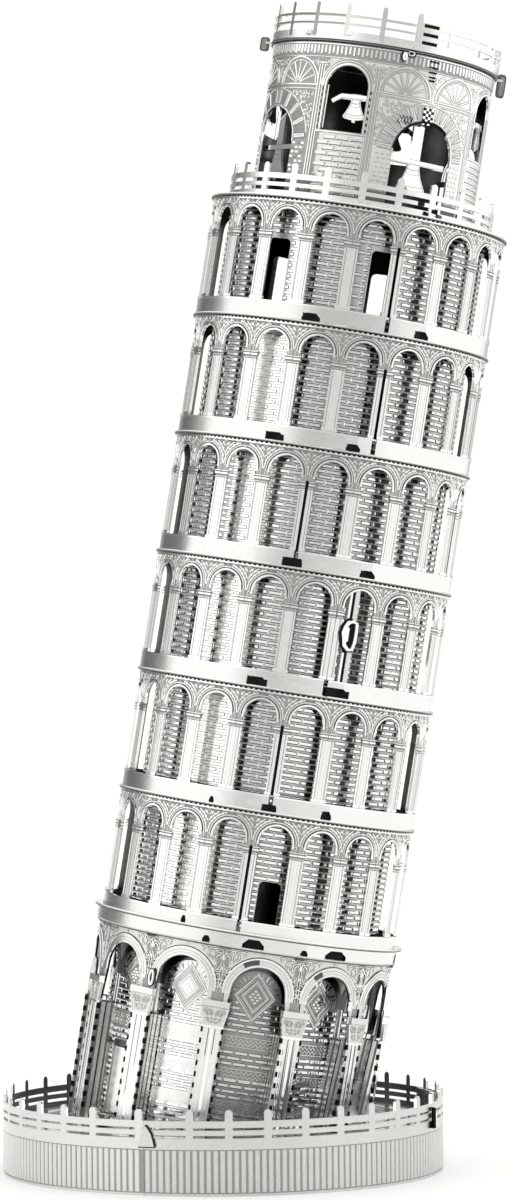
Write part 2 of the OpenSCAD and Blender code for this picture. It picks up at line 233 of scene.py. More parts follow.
class Piece:
    """One physical piece, in one mesh. R is the radius of its face, and its heights count from s."""

    def __init__(self, name, R=0.0, s=0.0, slot="tower_steel", wobble=None):
        self.name, self.R, self.s, self.slot, self.wobble = name, R, s, slot, wobble
        self.V, self.F, self.M, self.count = [], [], [], 0

    def keep(self, P, F, M):
        self.V.append(P)
        self.F.append(F + self.count)
        self.M.append(M)
        self.count += len(P)

    def wrap(self, prim, az=0.0, up=0.0):
        """Bends a solid round the axis, once at each azimuth. A wobble leaves the sheet a little out of round."""
        V, F, M = prim
        a = np.radians(np.atleast_1d(np.asarray(az, float)))[:, None] + V[None, :, 0] / self.R
        r = np.broadcast_to(self.R + V[:, 2], a.shape)
        if self.wobble:
            size, waves, turn = self.wobble
            r = r + size * (np.sin(waves * a + turn) + 0.6 * np.sin((2 * waves + 1) * a + 2.1 * turn))
        z = np.broadcast_to(self.s + up + V[:, 1], a.shape)
        for P in np.stack([r * np.sin(a), -r * np.cos(a), z], -1):
            self.keep(P, F, M)

    def band(self, *args, **look):
        self.wrap(part_band(self.R, *args, **look))

    def flat(self, prim, az=0.0, up=0.0, turn=0.0, pivot=0.0):
        """Places a flat solid facing outwards at each azimuth, twisted about an upright line at w = pivot."""
        V, F, M = prim
        c, s = cos(radians(turn)), sin(radians(turn))
        x, w = V[:, 0], V[:, 2] - pivot
        x, w = x * c + w * s, self.R + pivot - x * s + w * c
        for a in np.radians(np.atleast_1d(np.asarray(az, float))):
            P = [w * sin(a) + x * cos(a), -w * cos(a) + x * sin(a), self.s + up + V[:, 1]]
            self.keep(np.column_stack(P), F, M)

    def disc(self, R, y0, y1, R_in=0.002, top=POLISH, side=POLISH, edge=ETCH, n=160):
        """A flat disc or ring: its outer edge is rounded, as cut sheet is."""
        a = np.linspace(0, TAU, n, endpoint=False)
        b = 0.05
        rows = [(R_in, y0), (R - b, y0), (R, y0 + b), (R, (y0 + y1) / 2), (R, y1 - b), (R - b, y1), (R_in, y1)]
        P = [np.column_stack([r * np.sin(a), -r * np.cos(a), np.full(n, self.s + y)]) for r, y in rows]
        i = np.arange(n)[:, None]
        j = (i + 1) % n
        F = [np.hstack([k * n + i, k * n + j, q * n + j, q * n + i]) for k, q in enumerate((1, 2, 3, 4, 5, 6, 0))]
        # the underside and the lower part of the rounded edge are painted dark: painted shade under the disc
        self.keep(np.concatenate(P), np.concatenate(F), np.repeat([DARK, DARK, LINE, edge, side, top, BACK], n))

    def build(self, cut_z=None):
        """Makes the mesh. What would reach below cut_z is flattened there."""
        V, F, M = np.concatenate(self.V), np.concatenate(self.F), np.concatenate(self.M)
        if self.slot != "plaza_steel":  # the plaza stands level
            V = lean(V)
        if cut_z is not None:
            V[:, 2] = np.maximum(V[:, 2], cut_z)
        me = bpy.data.meshes.new(self.name)
        me.vertices.add(len(V))
        me.vertices.foreach_set("co", (V * MM).astype(np.float32).ravel())
        me.loops.add(F.size)
        me.loops.foreach_set("vertex_index", F.astype(np.int32).ravel())
        me.polygons.add(len(F))
        me.polygons.foreach_set("loop_start", np.arange(len(F), dtype=np.int32) * 4)
        me.polygons.foreach_set("material_index", M.astype(np.int32))
        me.update(calc_edges=True)
        me.validate()
        me.polygons.foreach_set("use_smooth", np.ones(len(me.polygons), bool))
        me.set_sharp_from_angle(angle=radians(32))
        ob = bpy.data.objects.new("show_" + self.name, me)
        bpy.context.scene.collection.objects.link(ob)
        for m in MATERIALS[self.slot]:
            me.materials.append(m)
        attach(ob, "root")
        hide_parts(self.name)


def plain_disc(name, R, top):
    p = Piece(name, s=top)
    p.disc(R, -SHEET, 0.0)
    p.build()


def loop_tab(piece, az, y, w, h, lift, turn=20, wire=0.26):
    """A small twisted tab with a slot in it, over a wider dark copy of itself that is painted shade behind it."""
    path = arc(0, 0, 1, 0, 360, 17)[:-1] * [w / 2, h / 2]
    for width, w0, w1, top, b in ((wire + 0.12, -0.12, 0, DARK, 0.02), (wire, -0.02, 0.14, POLISH, 0.06)):
        piece.flat(ribbon(path, width, lift + w0, lift + w1, closed=True, top=top, b=b), az, y, turn, lift)


# ---------- steel ----------
def add_node(nt, kind, inputs, **settings):
    """Adds a shader node. Each input is a value, or the socket that feeds it."""
    node = nt.nodes.new("ShaderNode" + kind)
    for key, value in settings.items():
        setattr(node, key, value)
    for key, value in inputs.items():
        if isinstance(value, bpy.types.NodeSocket):
            nt.links.new(value, node.inputs[key])
        else:
            node.inputs[key].default_value = value
    return node


def steel(name, base, rough, bump, scale, grain):
    """Sheet steel: one noise varies its roughness and its surface, a finer one its colour, by a share of grain."""
    m = bpy.data.materials.new(name)
    m.use_nodes = True
    nt = m.node_tree
    shader = nt.nodes["Principled BSDF"].inputs
    shader["Metallic"].default_value = 1.0
    place = add_node(nt, "TexCoord", {}).outputs["Object"]
    noise = add_node(nt, "TexNoise", {"Vector": place, "Scale": scale, "Detail": 3.0}).outputs["Fac"]
    fine = add_node(nt, "TexNoise", {"Vector": place, "Scale": scale * 4, "Detail": 2.0}).outputs["Fac"]
    dull = add_node(nt, "MapRange", {"Value": noise, "To Min": rough * 0.75, "To Max": rough * 1.3})
    nt.links.new(dull.outputs["Result"], shader["Roughness"])
    darkest, lightest = ([min(1.0, c * (1 + g)) for c in base] for g in (-grain, grain))
    shade = add_node(nt, "MapRange", {6: fine, 9: darkest, 10: lightest}, data_type="FLOAT_VECTOR")
    nt.links.new(shade.outputs["Vector"], shader["Base Color"])
    if bump:
        relief = add_node(nt, "Bump", {"Height": noise, "Strength": bump, "Distance": 0.00005})
        nt.links.new(relief.outputs["Normal"], shader["Normal"])
    return m


# in the order of POLISH, ETCH, LINE, BACK, SATIN, GROUND, DARK and BAND
# BACK is near black: the sheets' backs and some marks are painted shade and painted dark reflections
tower_steel = [steel(*row) for row in (
    ("polished_steel", (0.86, 0.86, 0.845), 0.12, 0.25, 350, 0.02),
    ("etched_steel", (0.64, 0.645, 0.62), 0.42, 0.5, 2600, 0.10),
    # LINE and GROUND are etched tones; they also paint shade lines round raised lines and under edges, and SATIN also
    # paints highlights
    ("etched_groove_and_shade_steel", (0.22, 0.22, 0.21), 0.5, 0.5, 2600, 0.15),
    ("shaded_back_steel", (0.085, 0.085, 0.082), 0.22, 0.1, 900, 0.05),
    ("satin_steel", (0.78, 0.785, 0.765), 0.24, 0.3, 900, 0.04),
    ("etched_ornament_and_shade_steel", (0.31, 0.315, 0.30), 0.42, 0.6, 2600, 0.18),
    # DARK is painted shade: under edges, behind tabs and in gaps, and dark reflections on tabs
    ("painted_shade_steel", (0.012, 0.012, 0.012), 0.4, 0.0, 900, 0.05),
    ("band_steel", (0.67, 0.675, 0.655), 0.2, 0.3, 900, 0.05))]
wall_steel, plaza_steel = list(tower_steel), list(tower_steel)
wall_steel[POLISH] = steel("brick_steel", (0.80, 0.80, 0.79), 0.07, 0.3, 500, 0.02)
wall_steel[ETCH] = steel("etched_wall_steel", (0.50, 0.505, 0.485), 0.40, 0.5, 2600, 0.14)
# darker bricks for one bay: painted shade
wall_steel[BAND] = steel("painted_shade_brick_steel", (0.56, 0.565, 0.55), 0.2, 0.3, 500, 0.05)
plaza_steel[SATIN] = steel("skirt_satin_steel", (0.60, 0.605, 0.585), 0.26, 0.3, 900, 0.06)
MATERIALS = {"tower_steel": tower_steel, "wall_steel": wall_steel, "plaza_steel": plaza_steel,
             "bell_steel": tower_steel}

# ---------- plaza ----------
FRONT_SEAM, SEAM_STEP = -22.3, 13.2  # azimuth of the post at the front seam, and the wide steps beside it
POST_STEP = (360 - 2 * SEAM_STEP) / 34
BACK_SEAM, SEAM_HALF = 104.0, 0.4
FLUTE_STEP = 1.731
RAIL_FOOT, RAIL_TOP, POST_TOP = 4.8, 6.32, 7.3
RAILS = [(3.92, 4.87), (5.12, 5.54), (5.76, RAIL_TOP)]


def skirt(name, from_az, to_az, posts, tone):
    """One strip of the skirt, with its flutes, rails, posts and the lugs that carry the floor."""
    s = Piece(name, PLAZA_R, slot="plaza_steel", wobble=(0.035, 3, 1.3))
    s.band(from_az, to_az, 0, 4.0, -SHEET, -0.06, top=GROUND)
    s.band(from_az, to_az, 0, 0.22, -0.1, 0, top=tone, side=tone)
    s.wrap(pad(-0.225, 0.225, 0.27, 3.88, -0.08, 0, 0.045, top=tone, side=ETCH),
           np.arange(from_az + 0.9, to_az - 0.5, FLUTE_STEP))
    for lo, hi in RAILS:
        s.band(from_az, to_az, lo, hi, top=tone)
    s.wrap(slab(*head_profile(0.67, RAIL_FOOT, POST_TOP), -SHEET, 0.004, top=tone, side=POLISH), posts)
    s.flat(pad(-0.7, 0.7, 4.0, 4.25, -1.8, -0.2, 0.02), np.arange(from_az + 24, to_az - 12, 40))
    return s


posts = FRONT_SEAM + SEAM_STEP + np.arange(35) * POST_STEP
# the short strip, on the right, is given the lighter tone: painted highlight; the long strip the darker one
long_strip = skirt("skirt_strip_long", BACK_SEAM + SEAM_HALF, FRONT_SEAM + 361.4,
                   [*posts[posts > BACK_SEAM + 1.4], FRONT_SEAM + 360], BAND)
short_strip = skirt("skirt_strip_short", FRONT_SEAM + 1.5, BACK_SEAM - SEAM_HALF, posts[posts < BACK_SEAM - 1.4], SATIN)
# closed bays beside the back seam
long_strip.band(BACK_SEAM + SEAM_HALF, BACK_SEAM + 6, RAIL_FOOT, RAIL_TOP, top=SATIN)
short_strip.band(BACK_SEAM - 6, BACK_SEAM - SEAM_HALF, RAIL_FOOT, RAIL_TOP, top=SATIN)
# the folded triangular tab beside the post at the front seam; the dark strip along its right edge and the dark line at
# its base are painted shadow
tab_y = np.array([4.16, 4.7, 5.2, 5.6, 5.98])
tab_left, tab_right = np.array([-0.02, 0.12, 0.28, 0.40, 0.52]), np.array([1.42, 1.30, 1.16, 0.92, 0.60])
long_strip.wrap(join(
    slab(tab_y, tab_left, tab_right, 0.12, 0.30, top=SATIN, side=POLISH, swap=True),
    slab(tab_y, tab_right - 0.03, tab_right + 0.08, 0.02, 0.27, top=DARK, side=DARK, swap=True),
    pad(0.0, 1.45, 4.04, 4.17, 0, 0.26, 0.02, 3, top=DARK)), FRONT_SEAM + 0.2)
# the twisted tab at the front right, in front of a dark plate that is painted shade
short_strip.flat(pad(-0.35, 0.35, 4.2, 6.05, -0.02, 0.24, top=DARK), 68.5, turn=38)
short_strip.flat(pad(-0.22, 0.3, 4.4, 5.6, 0.18, 0.34), 68.9, turn=38)
long_strip.build()
short_strip.build()

SPLICE_R = PLAZA_R - 0.3
splice = Piece("skirt_splice_plate", SPLICE_R, slot="plaza_steel")
splice.wrap(holed_plate(SPLICE_R, BACK_SEAM - 8, BACK_SEAM + 8, 4.55, 6.3,
                        [(BACK_SEAM + (i - 1.5) * 3.6, 5.25 + (i % 2) * 0.5, 0.2) for i in range(4)]))
splice.build()

plaza = Piece("plaza_disc", slot="plaza_steel")
plaza.disc(19.2, 4.25, 4.5)
for r in (12.9, 14.6, 16.3, 18.0):  # paving lines
    plaza.disc(r + 0.09, 4.49, 4.53, r - 0.09, top=ETCH, side=ETCH)
plaza.build()

# ---------- ground storey: the wall ----------
BAY_STEP = 30.0
BAY_PHASE = 6.0
COLUMN_PHASE = BAY_PHASE - BAY_STEP / 2
COLUMN_AZ = COLUMN_PHASE + BAY_STEP * np.arange(12)
SHEET_TOP = GROUND_TOP - 0.02
FEET = (45, 135, 225, 315)
SUNK = -0.06  # depth of the etched face
CHEVRONS = [12.5, 9.7, 6.85]
HEAD_Y, LOZENGE_Y = 16.35, 16.5  # centres of the arch head and of the lozenge
WALL_HALF = radians(BAY_STEP / 2) * WALL_R - 0.42
# a bay painted bright and a duller one beside it, where the photo shows them: painted highlight and painted shade
BAY_PAINTED_LIGHT = {-24: {DARK: GROUND, GROUND: SATIN, LINE: ETCH}, 6: {POLISH: BAND}}


def lozenge(size, steps=1):
    """The outline of a lozenge, each side of it in a number of steps."""
    corners = np.array([(0, 2.0), (1.7, 0), (0, -2.0), (-1.7, 0)]) * size + [0, LOZENGE_Y]
    return np.concatenate([np.linspace(a, b, steps, endpoint=False) for a, b in zip(corners, np.roll(corners, -1, 0))])


def ground_wall_bay(rng):
    """One bay of the wall: courses, chevron bands, a lozenge and a toothed arch head."""
    half = WALL_HALF
    prims = []
    for x0, x1, y in bricks(half, 33, 3.2, -0.3):
        mid = y + 0.17
        if any(abs(mid + 0.01 - c) < 0.5 for c in CHEVRONS):
            continue
        # bricks stop at the lozenge and at the teeth of the arch head
        off = abs(mid - LOZENGE_Y)
        gap = 1.7 * (1 - off / 2.0) + 0.16 if off < 2.1 else 0.0
        reach = sqrt(max(0.0, 1.66 ** 2 - (mid - HEAD_Y) ** 2)) if y + 0.34 > HEAD_Y else half
        for a, b in ((x0, min(x1, -gap)), (max(x0, gap), x1)) if gap > 0 else ((x0, x1),):
            a, b = max(a, -reach), min(b, reach)
            if b - a > 0.2:
                # the lower sloped edge of each brick is painted dark: painted shade under it
                prims.append(pad(a, b, y, y + 0.33, SUNK, 0, 0.06, low=DARK))
    teeth = int(2 * half / 0.42)
    x = np.linspace(-half, half, 2 * teeth + 1)
    zigzag = 0.13 * np.where(np.arange(len(x)) % 2, 1, -1)
    for c in CHEVRONS:
        prims += [ribbon(np.column_stack([x, c + off + zigzag]), 0.11, SUNK, 0, b=0.02) for off in (-0.17, 0.17)]
        prims += [ribbon(line(-half, y, half, y), 0.09, SUNK, 0, b=0.02) for y in (c - 0.44, c + 0.44)]
    # side frames and the arch head
    prims.append(both(ribbon(post(half + 0.12, 3.2, 16.2), 0.10, SUNK, 0.01)))
    prims.append(ribbon(arc(0, HEAD_Y, 2.02, -8, 188, 24), 0.62, -0.07, -0.048, top=GROUND, b=0.01))
    for i in range(15):
        t = radians(180 * (i + 0.5) / 15 + rng.uniform(-1.5, 1.5))
        c, s = cos(t), sin(t)
        far = 2.1 + 0.25 * rng.random()
        prims.append(ribbon(line(c * 1.76, HEAD_Y + s * 1.76, c * far, HEAD_Y + s * far), 0.14 + 0.1 * rng.random(),
                            SUNK, 0.02, b=0.05, top=POLISH if i % 3 else ETCH))
    # a dark ring behind the teeth: painted shade
    prims.append(ribbon(arc(0, HEAD_Y, 2.75, -2, 182, 24), 0.72, -0.07, -0.04, top=BACK, b=0.02))
    prims.append(ribbon(arc(0, HEAD_Y, 1.62, 20, 160, 16), 0.08, SUNK, 0))
    # the lozenge: its ground in steps, raised outlines and nine studs
    for size, width, mat in ((0.985, 0.336, ETCH), (0.86, 0.32, LINE), (0.66, 0.36, ETCH), (0.3, 0.48, GROUND)):
        prims.append(ribbon(lozenge(size), width, SUNK, -0.02, closed=True, b=0.01, top=mat))
    for size, width in ((1.0, 0.15), (0.86, 0.10), (0.72, 0.09), (0.58, 0.09), (0.46, 0.07)):
        prims.append(ribbon(lozenge(size, 4), width, SUNK, 0.04, closed=True))
    stud = pad(-0.15, 0.15, -0.11, 0.11, SUNK, 0.03, 0.03, 1)
    for u in (-0.34, 0, 0.34):
        prims += [moved(stud, (u - v) * 0.62, LOZENGE_Y + (u + v) * 0.74) for v in (-0.34, 0, 0.34)]
    return join(*prims)


rng = random.Random(7)
gw = Piece("ground_wall", WALL_R, slot="wall_steel", wobble=(0.05, 5, 0.8))
# the etched face is lighter between azimuths -39 and -9: a painted highlight
for a0, a1, mat in ((-9, 321, GROUND), (-39, -9, SATIN)):
    gw.band(a0, a1, 3.0, SHEET_TOP, -SHEET, SUNK, top=mat, side=BACK)
for i in range(12):
    az = (BAY_PHASE + i * BAY_STEP + 180) % 360 - 180
    gw.wrap(recoloured(ground_wall_bay(rng), BAY_PAINTED_LIGHT.get(az, {DARK: DARK})), az)
# plain door panels in two bays, with lintels and frames
for az, half, lift in ((-54, 1.15, 0.13), (66, 1.1, 1.2)):
    gw.wrap(join(pad(-half, half, 4.4, 10.1, -0.01, lift, 0.04, 4, top=SATIN),
                 pad(-half - 0.2, half + 0.2, 10.1, 10.7, -0.01, 0.2, 0.05, 4, top=BACK),
                 both(ribbon(post(half + 0.15, 4.4, 10.1), 0.2, SUNK, 0.16, top=ETCH))), az)
gw.flat(pad(-0.7, 0.7, 3.2, 4.6, -SHEET, -0.02, 0.01, 1), FEET)
gw.build(cut_z=3.45)

# ---------- ground storey: the arcades ----------
ARCH_IN, ARCH_OUT, SPRING = 2.4, 3.2, 16.8  # radii of the archivolt, and the height of its centre
G_HALF = radians(BAY_STEP / 2) * GROUND_R
EDGE = G_HALF - 0.52  # where the plain strip beside a column starts
HOLE_STEP = 0.98
SCROLLS = ((3.05, 19.55, 0.42, -30, 250), (3.05, 18.65, 0.34, 150, 400), (2.35, 19.75, 0.30, 0, 260),
           (3.2, 17.9, 0.26, 60, 330), (1.75, 20.12, 0.18, 0, 260), (3.22, 17.2, 0.2, 200, 460),
           (3.05, 19.55, 0.2, -60, 200), (3.05, 18.65, 0.16, 100, 380), (2.62, 20.1, 0.14, 0, 300))
STEMS = ((3.3, 16.6, 3.35, 20.2), (2.0, 19.9, 2.7, 19.2), (2.6, 19.2, 3.3, 20.1), (2.9, 18.3, 3.3, 19.0),
         (1.4, 20.25, 3.3, 20.27))


def outlined(path, width, rise, outline, base=SUNK, shade=-0.042):
    """A raised line on a wider, darker one, which is painted shade round it."""
    return join(ribbon(path, width, base, rise, b=0.02), ribbon(path, outline, base, shade, top=LINE, b=0.01))


def ground_bay():
    """One bay of the blind arcade, centred on its arch."""
    def ring(r, a0, a1, width, w0, w1, **look):
        return ribbon(arc(0, SPRING, r, a0, a1, 33), width, w0, w1, **look)

    t = np.linspace(pi, 0, 29)[1:-1]
    x = np.concatenate([[-EDGE, -ARCH_IN - 0.001], np.cos(t) * ARCH_IN, [ARCH_IN + 0.001, EDGE]])
    lo = np.concatenate([[13.9, SPRING], SPRING + np.sin(t) * ARCH_IN, [SPRING, 13.9]])
    mid = (ARCH_IN + ARCH_OUT) / 2
    scrolls = [outlined(arc(*s, 12), 0.09, 0.02, 0.20) for s in SCROLLS]
    stems = [outlined(line(*s, 0.4), 0.08, 0.01, 0.18) for s in STEMS]
    # dashed perforation beside the column, as dark holes
    holes = [pad(G_HALF - 0.49, G_HALF - 0.39, 4.4 + q * HOLE_STEP, 4.9 + q * HOLE_STEP, SUNK, -0.02, 0.01, 1, top=LINE)
             for q in range(10)]
    return join(
        # the sheet's cut edges round the arch are painted dark: painted shade
        slab(x, lo, SHEET_TOP, -SHEET, -0.05, top=ETCH, side=DARK),
        both(slab([EDGE, G_HALF], 3, SHEET_TOP, -SHEET, -0.05, top=GROUND, side=POLISH), *scrolls, *stems, *holes),
        # archivolt: a broad band with raised edges and two fine lines
        ring(mid, -4, 184, ARCH_OUT - ARCH_IN - 0.04, SUNK, 0.02, top=BAND, side=POLISH, b=0.02),
        ring(ARCH_IN + 0.09, -4, 184, 0.12, 0, 0.06),
        ring(ARCH_OUT - 0.06, 8, 172, 0.13, 0, 0.06),
        ring(mid + 0.12, 2, 178, 0.05, 0, 0.026, top=LINE, b=0.01),
        ring(mid - 0.13, 2, 178, 0.05, 0, 0.026, top=GROUND, b=0.01),
        # a thin dark ring outside the archivolt: painted shade
        ring(ARCH_OUT + 0.05, 10, 170, 0.07, SUNK, -0.03, top=DARK, b=0.01),
        # key ornament over the crown
        ribbon(arc(0, 20.2, 0.14, 0, 360, 12)[:-1], 0.06, SUNK, 0.02, closed=True))


g_bay = ground_bay()
for name, first, loops in (("ground_arcade_right", 0, ((45, 16.8, 0.26, 0.8), (72, 17.6, 0.26, 1.9))),
                           ("ground_arcade_left", 6, ((-36.4, 16.8, 0.34, 1.3), (-76, 15.7, 0.4, 3.0)))):
    g = Piece(name, GROUND_R, wobble=(0.04, 4, 2.2 + first))
    g.wrap(g_bay, BAY_PHASE + (first + np.arange(6)) * BAY_STEP)
    for loop in loops:
        loop_tab(g, *loop, 0.25)
    if first == 0:  # dark patches on two archivolts
        # these patches are painted dark reflections on the archivolts
        for az, a0, a1 in ((6, 96, 124), (36, 116, 134)):
            g.wrap(ribbon(arc(0, SPRING, 2.83, a0, a1, 9), 0.46, -0.02, 0.034, top=BACK, b=0.01), az)
    # tabs that pass through the cornice disc
    g.flat(pad(-0.7, 0.7, GROUND_TOP - 0.2, GROUND_TOP + 0.85, -0.24, -0.02, 0.03, 1, top=BACK),
           COLUMN_PHASE + first * BAY_STEP + (np.arange(3) + 0.5) * 60, turn=24, pivot=-0.13)
    g.build(cut_z=4.5)

# ---------- ground storey: pilasters, folded channels with an ornamented capital ----------
SHAFT_TOP, CAP_TOP = 13.65, 15.9
ABACUS = CAP_TOP - 0.62
HALF = 0.93  # half a pilaster's width
FOLDS = np.array([WALL_R + 0.05, 11.9, 12.1, 12.5, 12.62, 12.95, PILASTER_R - 0.02]) - PILASTER_R
CURLS = ((0.42, 14.75, 0.27, -60, 230), (0.42, 14.75, 0.12, 100, 400), (0.22, 14.15, 0.17, 60, 330),
         (0.75, 14.95, 0.16, -90, 120), (0.55, 14.2, 0.1, 0, 300))
flutes = [(x, 0.11, SHAFT_TOP - 0.2, -0.012, {"top": LINE, "b": 0.01}) for x in (-0.28, 0.28)]
flutes += [(x, w, SHAFT_TOP - 0.15, 0.012, {}) for x, w in ((-0.60, 0.08), (-0.42, 0.10), (0.0, 0.30), (0.42, 0.10),
                                                            (0.60, 0.08))]
cap_y = np.linspace(SHAFT_TOP, ABACUS, 5)
cap_half = np.interp(cap_y, [SHAFT_TOP, ABACUS], [HALF, 1.24])
# a flange folded back to the wall, with lighter and darker tones between its folds that are painted reflections
V, F, M = slab(FOLDS, 3, SHAFT_TOP, HALF - 0.12, HALF, side=ETCH)
M[:6] = M[12:18] = [POLISH, LINE, POLISH, DARK, SATIN, LINE]
flange = V[:, [2, 1, 0]], F[:, ::-1], M
pil = Piece("ground_pilasters", PILASTER_R)
pil.flat(join(
    slab([-HALF, -HALF / 2, 0, HALF / 2, HALF], 3, SHAFT_TOP + 0.1, -SHEET, -0.02, top=SATIN, side=POLISH),
    *[ribbon(post(x, 3.2, top, 3), w, -0.05, w1, **look) for x, w, top, w1, look in flutes],
    # capital: a trapezoid that widens upwards, with curled leaves, a plain abacus and a collar
    slab(cap_y, -cap_half, cap_half, -0.2, 0.05, top=ETCH, side=POLISH, swap=True),
    pad(-1.28, 1.28, ABACUS, CAP_TOP + 0.02, -0.2, 0.26, 0.05, 4, top=BAND, side=POLISH),
    pad(-1.02, 1.02, SHAFT_TOP - 0.12, SHAFT_TOP + 0.08, -0.1, 0.12, 0.03, 3),
    both(ribbon(np.column_stack([cap_half - 0.08, cap_y]), 0.1, 0, 0.11),
         *[outlined(arc(*c, 11), 0.075, 0.1, 0.18, 0.02, 0.058) for c in CURLS]),
    ribbon(post(0, SHAFT_TOP + 0.2, 15.2, 0.5), 0.08, 0.02, 0.1),
    ribbon(line(-1.15, 15.12, 1.15, 15.12, 0.5), 0.07, 0.02, 0.1),
    # the flanges, and small dark holes along the folds
    both(flange, *[pad(HALF - 0.165, HALF + 0.065, y, y + 0.48, -0.3, 0.004, 0.02, 1, top=DARK)
                   for y in 4.3 + 0.97 * np.arange(10)])), COLUMN_AZ)
pil.build(cut_z=4.5)

# ---------- cornice ----------
plain_disc("cornice_disc", 13.35, GROUND_TOP + SHEET)

CORNICE_NOTCHES = [(-16.5, 1.5, 0.55), (1.2, 4.0, 0.8), (20.6, 1.5, 0.5), (34.2, 4.8, 0.75), (81, 4, 0.8),
                   (141, 4, 0.8), (201, 4, 0.8), (261, 4, 0.8)]
ring = Piece("cornice_ring", CORNICE_R, GROUND_TOP + SHEET, wobble=(0.05, 3, 0.3))
# the band is lighter between azimuths 20 and 75: a painted highlight
ring.wrap(in_zone(notched_band(CORNICE_R, CORNICE_H, CORNICE_NOTCHES, -120, 240), CORNICE_R, 20, 75, {BAND: SATIN}))
# a dark plate in each notch: painted shade
for az, half, h in CORNICE_NOTCHES:
    ring.flat(pad(-half * 0.2, half * 0.2, 0.03, h * 0.95, -0.5, -0.16, 0.04, 1, top=DARK), az)
ring.build()

# ---------- galleries ----------
ARCH_R, ARCH_SPRING = 1.43, 7.97
ARCH_STEP = 18.0  # degrees from arch to arch
BAY_HALF = radians(ARCH_STEP / 2) * GALLERY_R
STOREY_TOP = STOREY - SHEET
# for each gallery: where its right half starts, where its foot band is painted bright, the part of its inner wall
# painted bright, and the notches of its foot band; the bright parts are painted highlights
SEAM_AZ = {2: -5.3, 3: -0.6, 4: 13.2, 5: -5.6, 6: 17.3, 7: 15.2}
BRIGHT_FROM = {2: -5.3, 3: 21.0, 4: 17.6, 5: 22.4, 6: 9.0, 7: 29.4}
BRIGHT_WALL = {2: (-48, -20), 3: (-42, -18), 4: (-44, -20), 5: (-42, -22), 6: (-47, -24), 7: (-29, -22)}
NOTCHES = {2: [(-27.1, 1.0, 0.6)], 3: [(-23.4, 1.0, 0.55), (-0.9, 2.9, 0.6), (21.6, 2.2, 0.75)],
           4: [(-13.0, 4.0, 0.75), (18.1, 5.0, 0.8)], 5: [(-6.7, 3.9, 0.75), (22.9, 3.2, 0.65)],
           6: [(-21.0, 3.8, 0.7), (9.5, 2.8, 0.65)], 7: [(-14.0, 3.6, 0.7), (30.0, 3.2, 0.7)]}
# doorways, as (azimuth, width, sill, head)
DOORS = {2: [(5.0, 1.95, 0.6, 4.5)],
         7: [(-36.5, 2.3, 1.2, 7.0), (10.9, 1.9, 1.2, 7.0), (163.5, 2.1, 1.2, 7.0), (213.0, 2.1, 1.2, 7.0)]}
BACK_DOOR = [(200, 2.1, 1.2, 7.0)]
# between these azimuths the backs of the arcades are painted light, not dark: painted light
LIT = (-46, -16)  # azimuths between which the backs of the arcades shine
WALL_SEAM = -80.0


def half_column(sx, end, foot, cut):
    """Half a column at one side of a bay; cut says that the sheet ends there, at a seam."""
    h, r, spring = BAY_HALF, ARCH_R, ARCH_SPRING

    def plate(x0, x1, y0, y1, w0, w1, **look):
        return slab(sorted((sx * x0, sx * x1)), y0, y1, w0, w1, **look)

    cap_top = spring - (0.5 if cut else 0)
    prims = [plate(r, end, foot, spring - 1.2, -SHEET, -0.03, top=SATIN, side=POLISH),
             plate(r, end, spring - 1.2, cap_top, -SHEET, -0.03, top=GROUND, side=POLISH)]
    if cut:  # with the splice tab behind it
        # the splice tab is painted dark: painted shade in the gap at the seam
        prims += [plate(h - 0.32, h, foot, spring - 0.5, -0.5, -0.42, top=DARK, side=DARK),
                  plate(r, h, spring - 0.5, spring, -SHEET, -0.03, top=GROUND, side=POLISH)]
    lines = [(r + 0.07, 0.13, 0.02, {}), (r + 0.20, 0.06, -0.022, {"top": LINE, "b": 0.01})]
    if not cut:
        lines.append((h - 0.17, 0.07, -0.01, {"top": ETCH}))
    prims += [ribbon(post(sx * x, foot + 0.3, spring - 1.2, 4), w, -0.04, w1, **look) for x, w, w1, look in lines]
    # base and capital mouldings, each over a dark line that is painted shade
    for y, tall, grow in ((foot + 0.02, 0.28, 0.10), (spring - 1.17, 0.10, 0.05), (spring - 0.93, 0.20, 0.12),
                          (spring - 0.66, 0.12, 0.16)):
        c, d = sorted((sx * end, sx * (r - grow)))
        prims += [pad(c, d, y, y + tall, -0.2, 0.05, 0.03, 1),
                  pad(c, d, y - 0.07, y + 0.01, -0.2, -0.015, 0.01, 1, top=LINE)]
    for q in (0.12, 0.36):
        x = sx * (r + q)
        prims.append(ribbon([(x, spring - 0.5), (x + sx * 0.1, spring - 0.25), (x, spring)], 0.07, SUNK, 0, b=0.02))
    return prims


